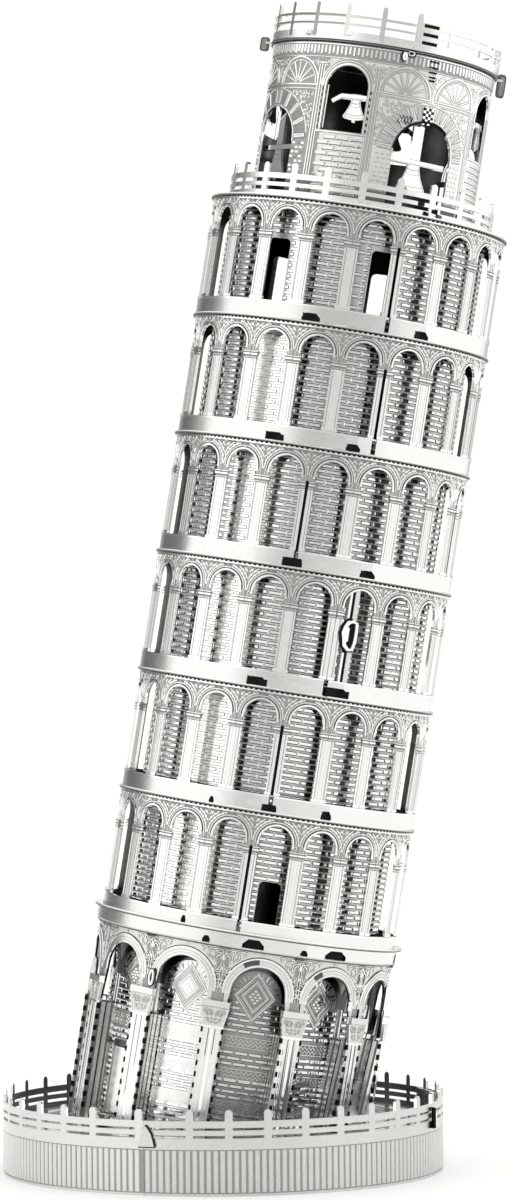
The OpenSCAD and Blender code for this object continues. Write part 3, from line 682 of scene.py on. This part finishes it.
def gallery_bay(n, foot, trim=0):
    """One bay of a gallery's arcade, centred on its arch. At a seam, trim is the side whose half column ends short."""
    h, r, spring, top = BAY_HALF, ARCH_R, ARCH_SPRING, STOREY_TOP
    gap = 0.03 if n == 4 else 0.13
    t = np.linspace(pi, 0, 23)
    x = np.concatenate([[-h, -(h + r) / 2], np.cos(t) * r, [(h + r) / 2, h]])
    lo = np.concatenate([[spring, spring], spring + np.sin(t) * r, [spring, spring]])
    prims = [slab(x, lo, top, -SHEET, -0.045, top=GROUND, side=POLISH)]
    for sx in (-1, 1):
        prims += half_column(sx, h - (gap if sx == trim else 0), foot, sx == trim)
    # archivolt
    prims.append(ribbon(arc(0, spring, r + 0.10, -10, 190, 23), 0.19, SUNK, 0.03))
    # a thin dark ring round the archivolt: painted shade
    prims.append(ribbon(arc(0, spring, r + 0.24, 0, 180, 23), 0.06, SUNK, -0.03, b=0.01, top=DARK))
    prims.append(ribbon(arc(0, spring, r + 0.35, -4, 184, 23), 0.09, SUNK, 0, b=0.02))
    # woven spandrel: arcs crossed by short ticks, under the frieze
    frieze = 10.02
    for rr in (1.98, 2.24, 2.52, 2.82, 3.12):
        path = arc(0, spring, rr, 0, 88, 26)
        path = path[(path[:, 0] < h - 0.04) & (path[:, 1] < frieze - 0.1)]
        if len(path) > 2:
            prims.append(both(ribbon(path, 0.11, SUNK, 0, b=0.02)))
    local = random.Random(n)
    for rr in (1.88, 2.12, 2.38, 2.68, 2.98):
        angle = 6.0
        while angle < 88:
            for sx in (-1, 1):
                a = radians(angle + local.uniform(-1.5, 1.5))
                c, s = cos(a), sin(a)
                near, far = (rr * c, spring + rr * s), ((rr + 0.24) * c, spring + (rr + 0.24) * s)
                if max(near[0], far[0]) < h - 0.05 and far[1] < frieze - 0.08:
                    bend = ((near[0] + far[0]) / 2 + 0.07 * s, (near[1] + far[1]) / 2 - 0.07 * c)
                    tick = ribbon([near, bend, far], 0.10, SUNK, 0.01, b=0.02)
                    prims.append(tick if sx > 0 else mirrored(tick))
            angle += 22.8 / rr
    # upright leaf on the column's axis
    leaf = [(h - 0.03, spring + 0.1), (h - 0.17, spring + 0.45), (h - 0.10, spring + 0.85), (h - 0.03, spring + 1.1)]
    prims.append(both(ribbon(leaf, 0.07, -0.05, 0.01)))
    # scallops hanging from the cornice line, each with a small boss
    u = np.linspace(-1, 1, 9)
    drop = top - 0.2 - 0.42 * np.sqrt(1 - u ** 2)
    scallop = join(slab(u * 0.6, drop, top - 0.1, SUNK, -0.035, top=LINE, side=LINE),
                   ribbon(np.column_stack([u * 0.62, drop - 0.03]), 0.08, -0.05, 0.03),
                   ribbon(arc(0, top - 0.36, 0.10, 0, 360, 9)[:-1], 0.06, -0.05, 0.02, closed=True, top=SATIN))
    prims += [moved(scallop, x) for x in (-h * 2 / 3, 0, h * 2 / 3)]
    # cornice line, painted dark as the shade under the floor disc, with a row of beads
    x = np.linspace(-h, h, 9)
    prims.append(slab(x, top - 0.13, top, -SHEET, 0.02, top=DARK, side=DARK))
    prims.append(slab(x, top - 0.24, top - 0.13, -SHEET, 0.03, side=POLISH))
    bead = pad(-0.12, 0.12, top - 0.15, top - 0.01, -0.05, 0.045, 0.03, 1, top=SATIN)
    prims += [moved(bead, i * 2 * h / 9) for i in range(-4, 5)]
    return join(*prims)


def brick_wall(n):
    """The inner wall of a gallery: pillowed bricks in courses, with its doorways."""
    R = WALL_R
    w = Piece("wall_%d" % n, R, floor_top(n), "wall_steel", (0.045, 4 + n % 3, 1.7 * n))
    doors = DOORS.get(n, BACK_DOOR)
    base, top = -0.055, STOREY_TOP
    bright = BRIGHT_WALL[n]
    # a lighter zone of the etched face, between the azimuths of BRIGHT_WALL: a painted highlight
    w.band(*bright, 0.05, top - 0.05, base - 0.02, base + 0.004, top=SATIN, side=ETCH)
    per_mm = 180 / (pi * R)
    # the sheet, in columns beside, above and below each doorway, which has a rounded head
    look = {"top": ETCH, "side": BACK}
    edge = WALL_SEAM
    for az, width, sill, head in sorted(doors):
        reach = width / 2 * per_mm
        w.band(edge, az - reach, 0, top, -SHEET, base, **look)
        x = np.radians(az) * R + np.array([-1, -0.93, -0.8, -0.62, 0, 0.62, 0.8, 0.93, 1]) * width / 2
        w.wrap(slab(x, head - np.array([0.42, 0.2, 0.08, 0, 0, 0, 0.08, 0.2, 0.42]), top, -SHEET, base, **look))
        w.wrap(slab(x, 0, sill, -SHEET, base, **look))
        edge = az + reach
    w.band(edge, WALL_SEAM + 360, 0, top, -SHEET, base, **look)
    count = int(round(360 / (BRICK_STEP * per_mm)))
    step = 360 / count
    half_brick = pad(-0.2, 0.2, 0, 0.335, base, 0, 0.06, 1, low=DARK)
    for row in range(int((top - 0.3) / COURSE)):
        y = 0.24 + row * COURSE
        open_here = [(az, width / 2) for az, width, sill, head in doors if sill - 0.3 < y < head + 0.02]
        az = np.arange(count) * step + (row % 2) * step / 2 + 1.3 * n + WALL_SEAM
        for d, half in open_here:
            az = az[np.abs((az - d + 180) % 360 - 180) >= half * per_mm + step / 2 - 0.4]
        wide = (BRICK - 0.02 + 0.03 * sin(row * 2.1 + n)) / 2
        # the lower sloped edge of each brick is painted dark as shade under it, except in the bright zone
        brick = pad(-wide, wide, 0, 0.335, base, 0, 0.06, 3, low=DARK)
        lit = (bright[0] < az) & (az < bright[1])
        w.wrap(brick, az[~lit], y)
        w.wrap(recoloured(brick, {DARK: ETCH}), az[lit], y)
        for d, half in open_here:
            w.wrap(half_brick, [d - (half + 0.3) * per_mm, d + (half + 0.3) * per_mm], y)
    w.flat(pad(-0.7, 0.7, -0.7, 0.3, -SHEET, -0.06, 0.01, 1, top=ETCH), (30, 120, 210, 300))
    w.build()


def strip_and_curl(p):
    """The strip behind an opening of gallery 4, and the curled tab that holds it."""
    az = 20.0
    for x0, x1, w1, mat in ((-0.44, -0.2, -0.28, POLISH), (-0.2, 0.04, -0.33, DARK), (0.04, 0.5, -0.3, ETCH)):
        p.wrap(pad(x0, x1, 1.11, 9.71, -0.45, w1, 0.02, 1, top=mat), az)
    curl = np.array([(0.42, 1.12), (0.0, 1.28), (-0.38, 1.12), (-0.62, 0.72), (-0.74, 0.2), (-0.6, -0.3), (-0.52, -0.8),
                     (-0.12, -1.2), (0.28, -1.12), (0.44, -0.5), (0.46, 0.4)]) + [0, 5.41]
    # the curl lies on a wider dark copy of itself, shifted down and left: a painted shadow
    for path, closed, wide, w0, w1, mat in ((curl - [0.09, 0.03], True, 0.62, -0.1, 0.02, DARK),
                                            (curl, True, 0.40, 0, 0.16, POLISH),
                                            (post(-0.46, 4.91, 6.11), False, 0.46, 0, 0.2, POLISH),
                                            (post(-0.02, 4.56, 6.21), False, 0.3, 0, 0.06, DARK)):
        p.flat(ribbon(path, wide, w0, w1, closed=closed, top=mat, b=0.08), az, turn=8)


def arcade(n, side, start):
    """Half of a gallery's arcade, over 180 degrees from a seam."""
    foot = 0.99 if n == 2 else 1.38
    R = GALLERY_R
    p = Piece("arcade_%d_%s" % (n, side), R, floor_top(n),
              wobble=(0.05, 3 + (n * 7) % 4, 0.9 * n + (2 if side == "left" else 0)))
    gap = degrees(0.2 / R)
    a0, a1 = start + gap, start + 180 - gap
    # the foot band is lighter from BRIGHT_FROM to azimuth 75: a painted highlight
    p.wrap(in_zone(notched_band(R, foot, NOTCHES[n], a0, a1), R, BRIGHT_FROM[n], 75, {BAND: SATIN}))
    p.band(a0, a1, foot - 0.12, foot, -0.05, 0.05)
    bay = gallery_bay(n, foot)
    az = start + ARCH_STEP * (np.arange(1, 9) + 0.5)
    turned = (az + 180) % 360 - 180
    # in the LIT zone the dark backs are painted light instead
    lit = (turned > LIT[0]) & (turned < LIT[1])
    p.wrap(bay, az[~lit])
    p.wrap(recoloured(bay, {BACK: SATIN}), az[lit])
    p.wrap(gallery_bay(n, foot, -1), start + ARCH_STEP / 2)
    p.wrap(gallery_bay(n, foot, 1), start + 180 - ARCH_STEP / 2)
    # in each notch, a dark back that is painted shade, and two twisted tabs painted dark as dark reflections
    for az, half, h in NOTCHES[n]:
        if 0 < (az - start) % 360 < 180:
            reach = half - 0.2
            p.wrap(part_band(R, az - reach, az + reach, 0, h * 0.95, -0.4, -0.27, top=DARK, side=DARK), 0, 0.01)
            for shift, lift, wide, tall, turn in ((-0.3, -0.12, 0.33, 0.95, 25), (0.4, -0.2, 0.3, 0.8, -20)):
                w = half * wide / 2
                p.flat(pad(-w, w, 0, h * tall, lift - 0.13, lift + 0.05, 0.04, 1, top=DARK), az + half * shift, 0.02,
                       turn, lift - 0.1)
    if n == 4 and side == "right":
        strip_and_curl(p)
    p.build()


for n in range(2, 8):
    plain_disc("floor_disc_%d" % n, 13.75 if n == 2 else GALLERY_DISC_R, floor_top(n))
    brick_wall(n)
    arcade(n, "right", SEAM_AZ[n])
    arcade(n, "left", SEAM_AZ[n] - 180)

# ---------- terrace ----------
plain_disc("terrace_disc", GALLERY_DISC_R, TERRACE)


def railing(name, R, rails, count, phase, top, w, s, wobble, zones):
    """A ring of rails and round-headed posts; zones gives (from azimuth, to azimuth, material) going once round."""
    p = Piece(name, R, s, wobble=wobble)
    for k, (lo, hi) in enumerate(rails):
        for a0, a1, mat in zones:
            p.band(a0, a1, lo, hi, top=SATIN if k == 0 else mat, side=POLISH, back=SATIN)
    for i in range(count):
        az = (phase + i * 360 / count + 180) % 360 - 180
        mat = next(m for a0, a1, m in zones if a0 <= az < a1)
        p.wrap(slab(*head_profile(w, 0.1, top), -SHEET, 0.01, top=mat, side=POLISH, back=SATIN), az)
    return p


def bead_round(p, y, width, w1):
    """A fine raised line all round a railing."""
    x = np.linspace(0, TAU * p.R, int(TAU * p.R / 0.35), endpoint=False)
    p.wrap(ribbon(np.column_stack([x, np.full(len(x), y)]), width, -0.01, w1, closed=True))


rail = railing("terrace_railing", TERRACE_RAIL_R, [(0, 0.58), (0.92, 1.27), (1.61, 2.08)], 23, -17.7, 3.0, 0.62,
               TERRACE, (0.05, 3, 1.0), [(-180, 180, SATIN)])
bead_round(rail, 0.30, 0.08, 0.03)
# twisted tabs where the two ends of the strip meet, painted dark as shade
for az, y, turn, mat in ((27.0, 0.1, 35, DARK), (30.5, 0.45, -28, DARK), (33.5, 0.1, 25, BACK), (24.0, 0.9, 20, DARK)):
    rail.flat(pad(-0.32, 0.32, y, y + 0.42, -0.05, 0.15, 0.05, 1, top=mat), az, turn=turn, pivot=0.05)
rail.build()

# ---------- belfry drum: four alike quarters, each centred on its high opening (x = 0) ----------
BELL_PHASE = -18.4
HIGH_R, HIGH_SILL, HIGH_TOP = 1.93, 6.4, 12.2
LOW_R, LOW_FOOT, LOW_TOP = 2.95, 0.5, 8.35
HIGH_Y, LOW_Y = HIGH_TOP - HIGH_R, LOW_TOP - LOW_R  # centres of the arches
QUARTER = TAU * DRUM_R / 8  # half a quarter's width, and the axis of the low arch
LUNETTE_X, LUNETTE_Y, LUNETTE_R = radians(30) * DRUM_R, 10.35, 2.32
STRIP_X = 2.62  # axis of the triple pilaster strips
FLAT, FLAT_TOP, FACE = -0.06, -0.042, -0.05  # depths of flat marks, and of the drum's etched face


def skin(x, lo, hi):
    return slab(x, lo, hi, -SHEET, FACE, top=ETCH, side=POLISH)


def rib(path, width, lift=0.0, top=POLISH):
    """A raised line with a dark outline, which is painted shade round it."""
    return join(ribbon(path, width + 0.03, FLAT, lift, top=top),
                ribbon(path, width + 0.13, -0.07, -0.044, top=GROUND, b=0.005))


def mark(path, width, w1=FLAT_TOP):
    return ribbon(path, width, FLAT, w1, top=LINE, b=0.01)


def drum_sheet():
    t = np.linspace(pi, 0, 25)
    low_t = np.linspace(pi, pi / 2, 15)
    low_x = QUARTER + np.cos(low_t) * LOW_R
    return join(
        skin(np.cos(t) * HIGH_R, HIGH_Y + np.sin(t) * HIGH_R, DRUM_H),
        skin(np.linspace(-HIGH_R, HIGH_R, 9), 0.0, HIGH_SILL),
        both(skin(np.linspace(HIGH_R, QUARTER - LOW_R, 8), 0.0, DRUM_H),
             skin(low_x, LOW_Y + np.sin(low_t) * LOW_R, DRUM_H),
             skin(np.linspace(low_x[0], low_x[-1], 8), 0.0, LOW_FOOT),
             # the foot of the sheet is darker than the rest
             slab(np.linspace(HIGH_R, QUARTER - LOW_R, 6), 0.0, 1.7, FLAT, FLAT_TOP, top=LINE, side=LINE)))


def high_opening():
    """The frame of a high opening, and the brick panel under it."""
    sill = HIGH_SILL - 0.12
    prims = [rib(arc(0, HIGH_Y, HIGH_R + off, a0, 180 - a0, 27), width, lift)
             for off, a0, width, lift in ((0.10, -8, 0.17, 0.03), (0.36, 0, 0.09, 0.0), (0.56, 0, 0.07, 0.0))]
    prims.append(both(rib(post(HIGH_R + 0.10, HIGH_SILL, HIGH_Y, 2), 0.16, 0.02),
                      rib(post(HIGH_R + 0.45, 6.2, HIGH_Y, 2), 0.08),
                      *[pad(HIGH_R + 0.20, HIGH_R + 0.34, y, y + 0.28, FACE, -0.02, 0.01, 1, top=BACK)
                        for y in 6.5 + 0.56 * np.arange(7)]))
    prims.append(rib(line(-HIGH_R - 0.4, sill, HIGH_R + 0.4, sill, 0.5), 0.14, 0.03))
    for x0, x1, y in bricks(2.1, 12, 0.35):
        if x1 - x0 > 0.25:
            # each brick lies on a darker bed and its lower sloped edge is dark: painted shade
            bed = [(x0 + 0.02, y + 0.15), (x1 + 0.05, y + 0.15)]
            prims.append(ribbon(bed, 0.44, -0.07, -0.044, top=GROUND, b=0.005))
            prims.append(pad(x0, x1, y, y + 0.34, FACE, -0.01, 0.06, top=BAND, low=DARK))
    return join(*prims)


def low_arch():
    """The half of a low arch on the right of a quarter: its rim and radiating voussoirs, and blocks under them."""
    prims = [rib(arc(QUARTER, LOW_Y, LOW_R + 0.08, 90, 184, 18), 0.13, 0.03, top=SATIN),
             rib(arc(QUARTER, LOW_Y, LOW_R + 1.55, 90, 172, 18), 0.09)]
    for q in range(9):
        a = radians(95 + q * 10)
        c, s = cos(a), sin(a)

        def ray(off=0.0, trim=0.0):
            r0, r1 = LOW_R + 0.25 + trim, LOW_R + 1.42 - trim
            return line(QUARTER + c * r0 - off * s, LOW_Y + s * r0 + off * c,
                        QUARTER + c * r1 - off * s, LOW_Y + s * r1 + off * c, 0.4)

        end_x, end_y = ray()[-1]
        if end_x < 3.0 or end_y < 0.3:
            continue
        prims += [mark(ray(off), 0.08) for off in (-0.25, 0.25)]
        if q % 2 == 0:
            prims.append(ribbon(ray(), 0.38, FLAT, 0.02, top=SATIN, b=0.05))
            prims.append(ribbon(ray(trim=0.1), 0.1, 0.0, 0.026, top=GROUND, b=0.01))
        else:
            prims += [mark(ray(off), 0.06, -0.04) for off in (-0.13, 0.0, 0.13)]
    for row in range(9):
        for q in range(3):
            x, y = QUARTER - LOW_R - 1.5 + q * 0.5 + 0.12 * (row % 2), 1.75 + row * 0.4
            look = POLISH if (q + row) % 3 else ETCH
            # the lower sloped edge of each block is darker: painted shade
            prims.append(pad(x, x + 0.36, y, y + 0.26, FLAT, 0, 0.04, 1, top=look, low=LINE))
    return join(*prims)


def lunette():
    x, y, r = LUNETTE_X, LUNETTE_Y, LUNETTE_R
    prims = [rib(arc(x, y, r, 0, 180, 25), 0.14, 0.03), rib(arc(x, y, r - 0.28, 0, 180, 25), 0.07),
             rib(arc(x, y, 0.3, 0, 180, 9), 0.08),
             rib(line(x - r - 0.05, y - 0.08, x + r + 0.05, y - 0.08, 0.5), 0.13, 0.03),
             rib(line(x - r + 0.1, y - 0.42, x + r - 0.1, y - 0.42, 0.5), 0.08)]
    for a in np.radians(22.5 * np.arange(1, 8)):
        c, s = cos(a), sin(a)
        prims.append(rib(line(x + 0.4 * c, y + 0.4 * s, x + (r - 0.34) * c, y + (r - 0.34) * s, 0.5), 0.10))
    return join(*prims)


def scrolls():
    """Small scrolls over the ground that is left between the arches."""
    curl = random.Random(11)
    prims = []
    for gx in np.arange(-QUARTER + 0.2, QUARTER, 0.36):
        for gy in np.arange(0.5, 13.0, 0.36):
            x, y = gx + curl.uniform(-0.06, 0.06), gy + curl.uniform(-0.06, 0.06)
            ax, clear = abs(x), HIGH_R + 0.75
            in_high = ax < clear and y < HIGH_TOP + 0.8 and (y < HIGH_Y or hypot(x, y - HIGH_Y) < clear)
            in_low = ax > QUARTER - LOW_R - 1.75 and y < LOW_Y or hypot(QUARTER - ax, y - LOW_Y) < LOW_R + 1.66
            from_lunette = hypot(ax - LUNETTE_X, y - LUNETTE_Y)
            in_lunette = from_lunette < 2.2 and y > 9.7 or abs(from_lunette - LUNETTE_R) < 0.16
            if in_high or in_low or in_lunette or 2.25 < ax < 3.0 or y > 12.6:
                continue
            a0 = curl.uniform(0, 360)
            path = arc(x, y, curl.uniform(0.10, 0.16), a0, a0 + curl.uniform(170, 280), 7)
            prims.append(ribbon(path, 0.10, FLAT, -0.01, b=0.02))
            # a wider, darker line under each scroll: painted shade
            prims.append(ribbon(path, 0.19, -0.07, -0.044, top=GROUND, b=0.005))
    return join(*prims)


def dentils(count=40):
    """The row of dentils under the roof, between two lines. The lower sloped edge of each tooth is painted dark, as
    shade.
    """
    step = 2 * QUARTER / count
    tooth = pad(-0.105, 0.105, 12.98, 13.8, FACE, 0.03, 0.03, 1, low=DARK)
    short_tooth = pad(-0.105, 0.105, 13.10, 13.8, FACE, 0.03, 0.03, 1, low=DARK)
    return join(slab(np.linspace(-QUARTER, QUARTER, count), 12.84, 13.84, FLAT, FLAT_TOP, top=GROUND, side=GROUND),
                *[moved(short_tooth if q % 2 else tooth, -QUARTER + (q + 0.5) * step) for q in range(count)],
                rib(line(-QUARTER, 13.92, QUARTER, 13.92, 0.5), 0.12, 0.05),
                rib(line(-QUARTER, 12.78, QUARTER, 12.78, 0.5), 0.07))


strips = [rib(post(STRIP_X + dx, 0.15, top, 2), 0.10, 0.02) for dx, top in ((-0.26, 12.1), (0, 12.2), (0.26, 12.1))]
strips.append(rib(line(STRIP_X - 0.42, 12.25, STRIP_X + 0.42, 12.25, 0.5), 0.12, 0.04))
quarter = join(drum_sheet(), high_opening(), both(low_arch(), lunette(), *strips), scrolls(), dentils())
drum = Piece("belfry_drum", DRUM_R, TERRACE, wobble=(0.04, 4, 0.5))
# the etched face is painted darker on parts of two quarters and lighter on a third: painted light and shade
drum.wrap(in_zone(quarter, DRUM_R, -45.5, -12, {ETCH: GROUND}), BELL_PHASE)
drum.wrap(in_zone(quarter, DRUM_R, 10, 45.5, {ETCH: GROUND}), BELL_PHASE - 90)
drum.wrap(quarter, BELL_PHASE + 180)
drum.wrap(recoloured(quarter, {ETCH: SATIN}), BELL_PHASE + 90)
# the low arch at the front: a bent-out lip along its upper left, a checkered patch, hatching, and slots above it
# the lip is painted dark: painted shade
drum.wrap(ribbon(arc(0, LOW_Y, LOW_R + 0.02, 50, 176, 30), 0.24, -0.07, 0.12, top=DARK), BELL_PHASE + 45)
for row in range(6):
    for col in range(4):
        x, y = (col - 2) * 0.25, 8.12 + row * 0.25
        drum.wrap(pad(x, x + 0.25, y, y + 0.25, FACE, 0.05, 0.01, 1, top=DARK if (row + col) % 2 else POLISH), 25.4)
for q in range(5):
    for sgn in (-1, 1):
        path = line(-0.6 + q * 0.3, 8.2 + 0.4 * sgn, -0.3 + q * 0.3, 8.2 - 0.4 * sgn, 0.4)
        drum.wrap(ribbon(path, 0.05, FACE, 0.02, top=DARK, b=0.01), 12.4)
for y, half in ((13.55, 0.42), (13.05, 0.36), (12.62, 0.36), (12.2, 0.3), (11.9, 0.25)):
    drum.wrap(pad(-half, half, y, y + 0.17, FACE, 0.05, 0.01, top=DARK), 24.5)
drum.build()

splice = Piece("drum_splice_strip", 9.6, TERRACE)
splice.band(BELL_PHASE + 236, BELL_PHASE + 244, 0.1, DRUM_H - 0.1, top=SATIN)
splice.build()


# ---------- bells ----------
def bell(width, height, yoke_w, yoke_y, strap_w, strap_top, w0):
    """A flat bell with its yoke bar, strap and clapper; half-etched lines cross the body."""
    share = np.array([1.0, 0.96, 0.9, 0.8, 0.62, 0.42, 0.24, 0.10, 0.0])
    y = yoke_y - height * share
    half = width * np.array([0.26, 0.42, 0.5, 0.49, 0.40, 0.31, 0.25, 0.22, 0.21])
    w1 = w0 + 0.22
    prims = [slab(y, -half, half, w0, w1, swap=True),
             pad(-yoke_w / 2, yoke_w / 2, yoke_y - 0.02, yoke_y + 0.5, w0, w1 + 0.02, 0.05, 3, back=BACK),
             pad(-strap_w / 2, strap_w / 2, yoke_y + 0.45, strap_top, w0, w1, 0.04, 1, back=BACK),
             pad(-0.16, 0.16, y[0] - 0.22, y[0] + 0.05, w0 + 0.05, w1 - 0.02, 0.04, 1, back=BACK),
             ribbon(line(0.1 - yoke_w / 2, yoke_y + 0.1, yoke_w / 2 - 0.1, yoke_y + 0.1), 0.06, w1, w1 + 0.035,
                    top=GROUND, b=0.01),
             both(ribbon(np.column_stack([half - 0.09, y]), 0.06, w1 - 0.02, w1 + 0.015, top=GROUND, b=0.01))]
    for f, line_w in ((0.14, 0.09), (0.30, 0.06), (0.72, 0.08), (0.84, 0.06)):
        reach = 0.92 * float(np.interp(f, share[::-1], half[::-1]))
        x = np.linspace(-reach, reach, 5)
        path = np.column_stack([x, yoke_y - height * f - 0.10 * (1 - (x / reach) ** 2)])
        prims.append(ribbon(path, line_w, w1 - 0.02, w1 + 0.02, top=LINE))
    return join(*prims)


high_bell = join(moved(bell(1.95, 1.75, 2.9, 9.3, 0.9, 9.85, 9.15), 0.85),
                 ribbon(line(-0.5, 9.56, -1.3, 9.0, 0.4), 0.42, 9.2, 9.4, b=0.04),  # its bar ends in a hook
                 pad(-1.85, -1.7, 6.6, 10.4, 9.3, 9.5, 0.02, 1, top=SATIN))
low_bell = moved(bell(2.8, 2.5, 6.0, 4.6, 1.1, 8.4, 8.7), -0.3)
for i in range(4):
    for name, prim, az in (("bell_high_%d", high_bell, BELL_PHASE), ("bell_low_%d", low_bell, BELL_PHASE + 45)):
        b = Piece(name % (i + 1), 0.0, TERRACE, "bell_steel")
        b.flat(prim, az + 90 * i)
        b.build()

# ---------- roof ----------
roof = Piece("roof_disc", s=TERRACE + DRUM_H)
# its edge and underside are painted dark: painted shade
roof.disc(10.18, 0.02, 0.27, top=BAND, side=BACK, edge=BACK)
for r in (2.4, 5.0, 7.6, 9.2):  # engraved rings
    roof.disc(r + 0.07, 0.2, 0.285, r - 0.07, top=GROUND, side=GROUND, edge=GROUND)
# lugs folded down outside the drum, each with a sunk panel on both faces
lug_half = np.array([0.22, 0.34, 0.4, 0.42, 0.42, 0.4, 0.34, 0.22])
lug_share = np.array([0, 0.05, 0.12, 0.3, 0.7, 0.88, 0.95, 1.0])
for az, w, y0, y1, turn in ((91.6, 10.62, -1.35, 0.75, -62), (271.6, 10.72, -0.6, 0.65, 62)):
    y = y0 + (y1 - y0) * lug_share
    panel_y = y0 + (y - y0) * 0.8 + 0.1 * (y1 - y0)
    lug = [slab(y, -lug_half, lug_half, w - 0.1, w + 0.1, top=BACK, side=LINE, swap=True)]
    lug += [slab(panel_y, -lug_half * 0.62, lug_half * 0.62, w0, w0 + 0.03, top=LINE, side=LINE, back=LINE, swap=True)
            for w0 in (w + 0.09, w - 0.12)]
    roof.flat(join(*lug), az, turn=turn, pivot=w)
    roof.flat(pad(-0.45, 0.45, 0.02, 0.26, 9.6, 10.7, 0.02), az)
roof.build()

# its zones paint the rails lighter and darker round the tower: painted light and shade
crown = railing("crown_railing", CROWN_R, [(0, 0.72), (1.30, 1.46), (2.0, 2.2)], 20, -4.6, 3.2, 0.42, ROOF,
                (0.06, 3, 2.0), [(-180, -78, SATIN), (-78, -42, LINE), (-42, -24, GROUND), (-24, -5, ETCH),
                                 (-5, 10, BAND), (10, 180, SATIN)])
bead_round(crown, 0.18, 0.12, 0.05)
# the slotted plate where the strip's ends meet, and the small tabs bent over the roof's edge
crown.wrap(join(pad(-0.95, 1.0, 0.35, 2.5, -0.15, 0.05, 0.03, 3, top=SATIN),
                *[pad(-0.72, 0.72, y, y + 0.33, 0, 0.065, 0.02, 3, top=DARK) for y in (0.56, 1.29, 2.05)]), 19.4)
loop_tab(crown, 8.0, -0.72, 0.3, 0.62, 0.1, 32, 0.2)
loop_tab(crown, 11.2, -0.42, 0.5, 0.34, 0.1, -24, 0.2)
# the lower sloped edge of each tab is painted dark: painted shade
for az, y, turn in ((-43.8, 0.2, 30), (-20.8, 0.35, -25)):
    crown.flat(pad(-0.26, 0.26, y, y + 0.5, 0, 0.23, 0.06, 1, low=DARK), az, turn=turn, pivot=0.1)
crown.build()

# ---------- stage: a pale floor, and a bright studio with darker zones for the steel to mirror ----------
scene = bpy.context.scene
FLOOR_HALF = 3.0  # metres
floor_mesh = bpy.data.meshes.new("floor")
floor_mesh.from_pydata([(x * FLOOR_HALF, y * FLOOR_HALF, 0) for x, y in ((-1, -1), (1, -1), (1, 1), (-1, 1))],
                       [], [(0, 1, 2, 3)])
floor = bpy.data.objects.new("floor", floor_mesh)
scene.collection.objects.link(floor)
floor_look = bpy.data.materials.new("floor")
floor_look.use_nodes = True
shader = floor_look.node_tree.nodes["Principled BSDF"].inputs
shader["Base Color"].default_value = (0.93, 0.93, 0.93, 1)
shader["Roughness"].default_value = 0.6
shader["Specular IOR Level"].default_value = 0.2
floor_mesh.materials.append(floor_look)

world = bpy.data.worlds.new("studio")
scene.world = world
world.use_nodes = True
nt = world.node_tree
direction = add_node(nt, "TexCoord", {}).outputs["Generated"]
toward = add_node(nt, "SeparateXYZ", {0: direction}).outputs


def calc(operation, *values):
    return add_node(nt, "Math", dict(enumerate(values)), operation=operation).outputs[0]


# brightness of the horizontal band by azimuth, as (degrees, strength)
STOPS = [(-180, 0.95), (-168, 0.55), (-150, 0.16), (-128, 0.24), (-114, 0.5), (-105, 1.5), (-42, 1.5), (-28, 1.0),
         (-20, 0.74), (38, 0.70), (50, 1.45), (130, 1.45), (150, 0.9), (164, 0.5), (180, 0.95)]
RAMP_TOP = 1.6  # strength that the ramp's white stands for
azimuth = calc("ARCTAN2", toward["X"], calc("MULTIPLY", toward["Y"], -1.0))
ramp = add_node(nt, "ValToRGB", {"Fac": calc("ADD", calc("DIVIDE", azimuth, TAU), 0.5)})
elements = ramp.color_ramp.elements
while len(elements) > 1:
    elements.remove(elements[-1])
for k, (deg, strength) in enumerate(STOPS):
    at = (deg + 180) / 360
    stop = elements.new(at) if k else elements[0]
    stop.position = at
    stop.color = [strength / RAMP_TOP] * 3 + [1]
# above and below the horizontal band it is evenly bright, and what the camera sees directly is plain white
height = add_node(nt, "MapRange", {"Value": calc("ABSOLUTE", toward["Z"]), "From Min": 0.2, "From Max": 0.5},
                  interpolation_type="SMOOTHSTEP")
band = calc("MULTIPLY", ramp.outputs["Color"], RAMP_TOP)
around = add_node(nt, "Mix", {"Factor": height.outputs["Result"], "A": band, "B": 1.35}, data_type="FLOAT")
seen = add_node(nt, "LightPath", {}).outputs["Is Camera Ray"]
strength = add_node(nt, "Mix", {"Factor": seen, "A": around.outputs[0], "B": 1.05}, data_type="FLOAT")
background = nt.nodes["Background"].inputs
nt.links.new(strength.outputs[0], background["Strength"])
background["Color"].default_value = (1.0, 1.0, 0.985, 1)

# ---------- camera at the photo's place ----------
cam_data = bpy.data.cameras.new("camera")
cam_data.sensor_fit = "AUTO"
cam_data.sensor_width = 36.0
cam_data.lens = 132.0
cam_data.clip_start, cam_data.clip_end = 0.01, 20.0
cam = bpy.data.objects.new("camera", cam_data)
scene.collection.objects.link(cam)
yaw, pitch, roll = radians(1.166), radians(0.510), radians(-0.474)
forward = Vector((sin(yaw) * cos(pitch), cos(yaw) * cos(pitch), sin(pitch)))
right = Vector((cos(yaw), -sin(yaw), 0))
up = right.cross(forward)
axes = (right * cos(roll) + up * sin(roll), up * cos(roll) - right * sin(roll), -forward)
cam.matrix_world = Matrix.Translation(Vector((-4.48, -390.6, 46.94)) * MM) @ Matrix(axes).transposed().to_4x4()
scene.camera = cam

scene.view_settings.view_transform = "Standard"
scene.view_settings.look = "None"
scene.view_settings.exposure = 0.0
scene.view_settings.gamma = 1.0
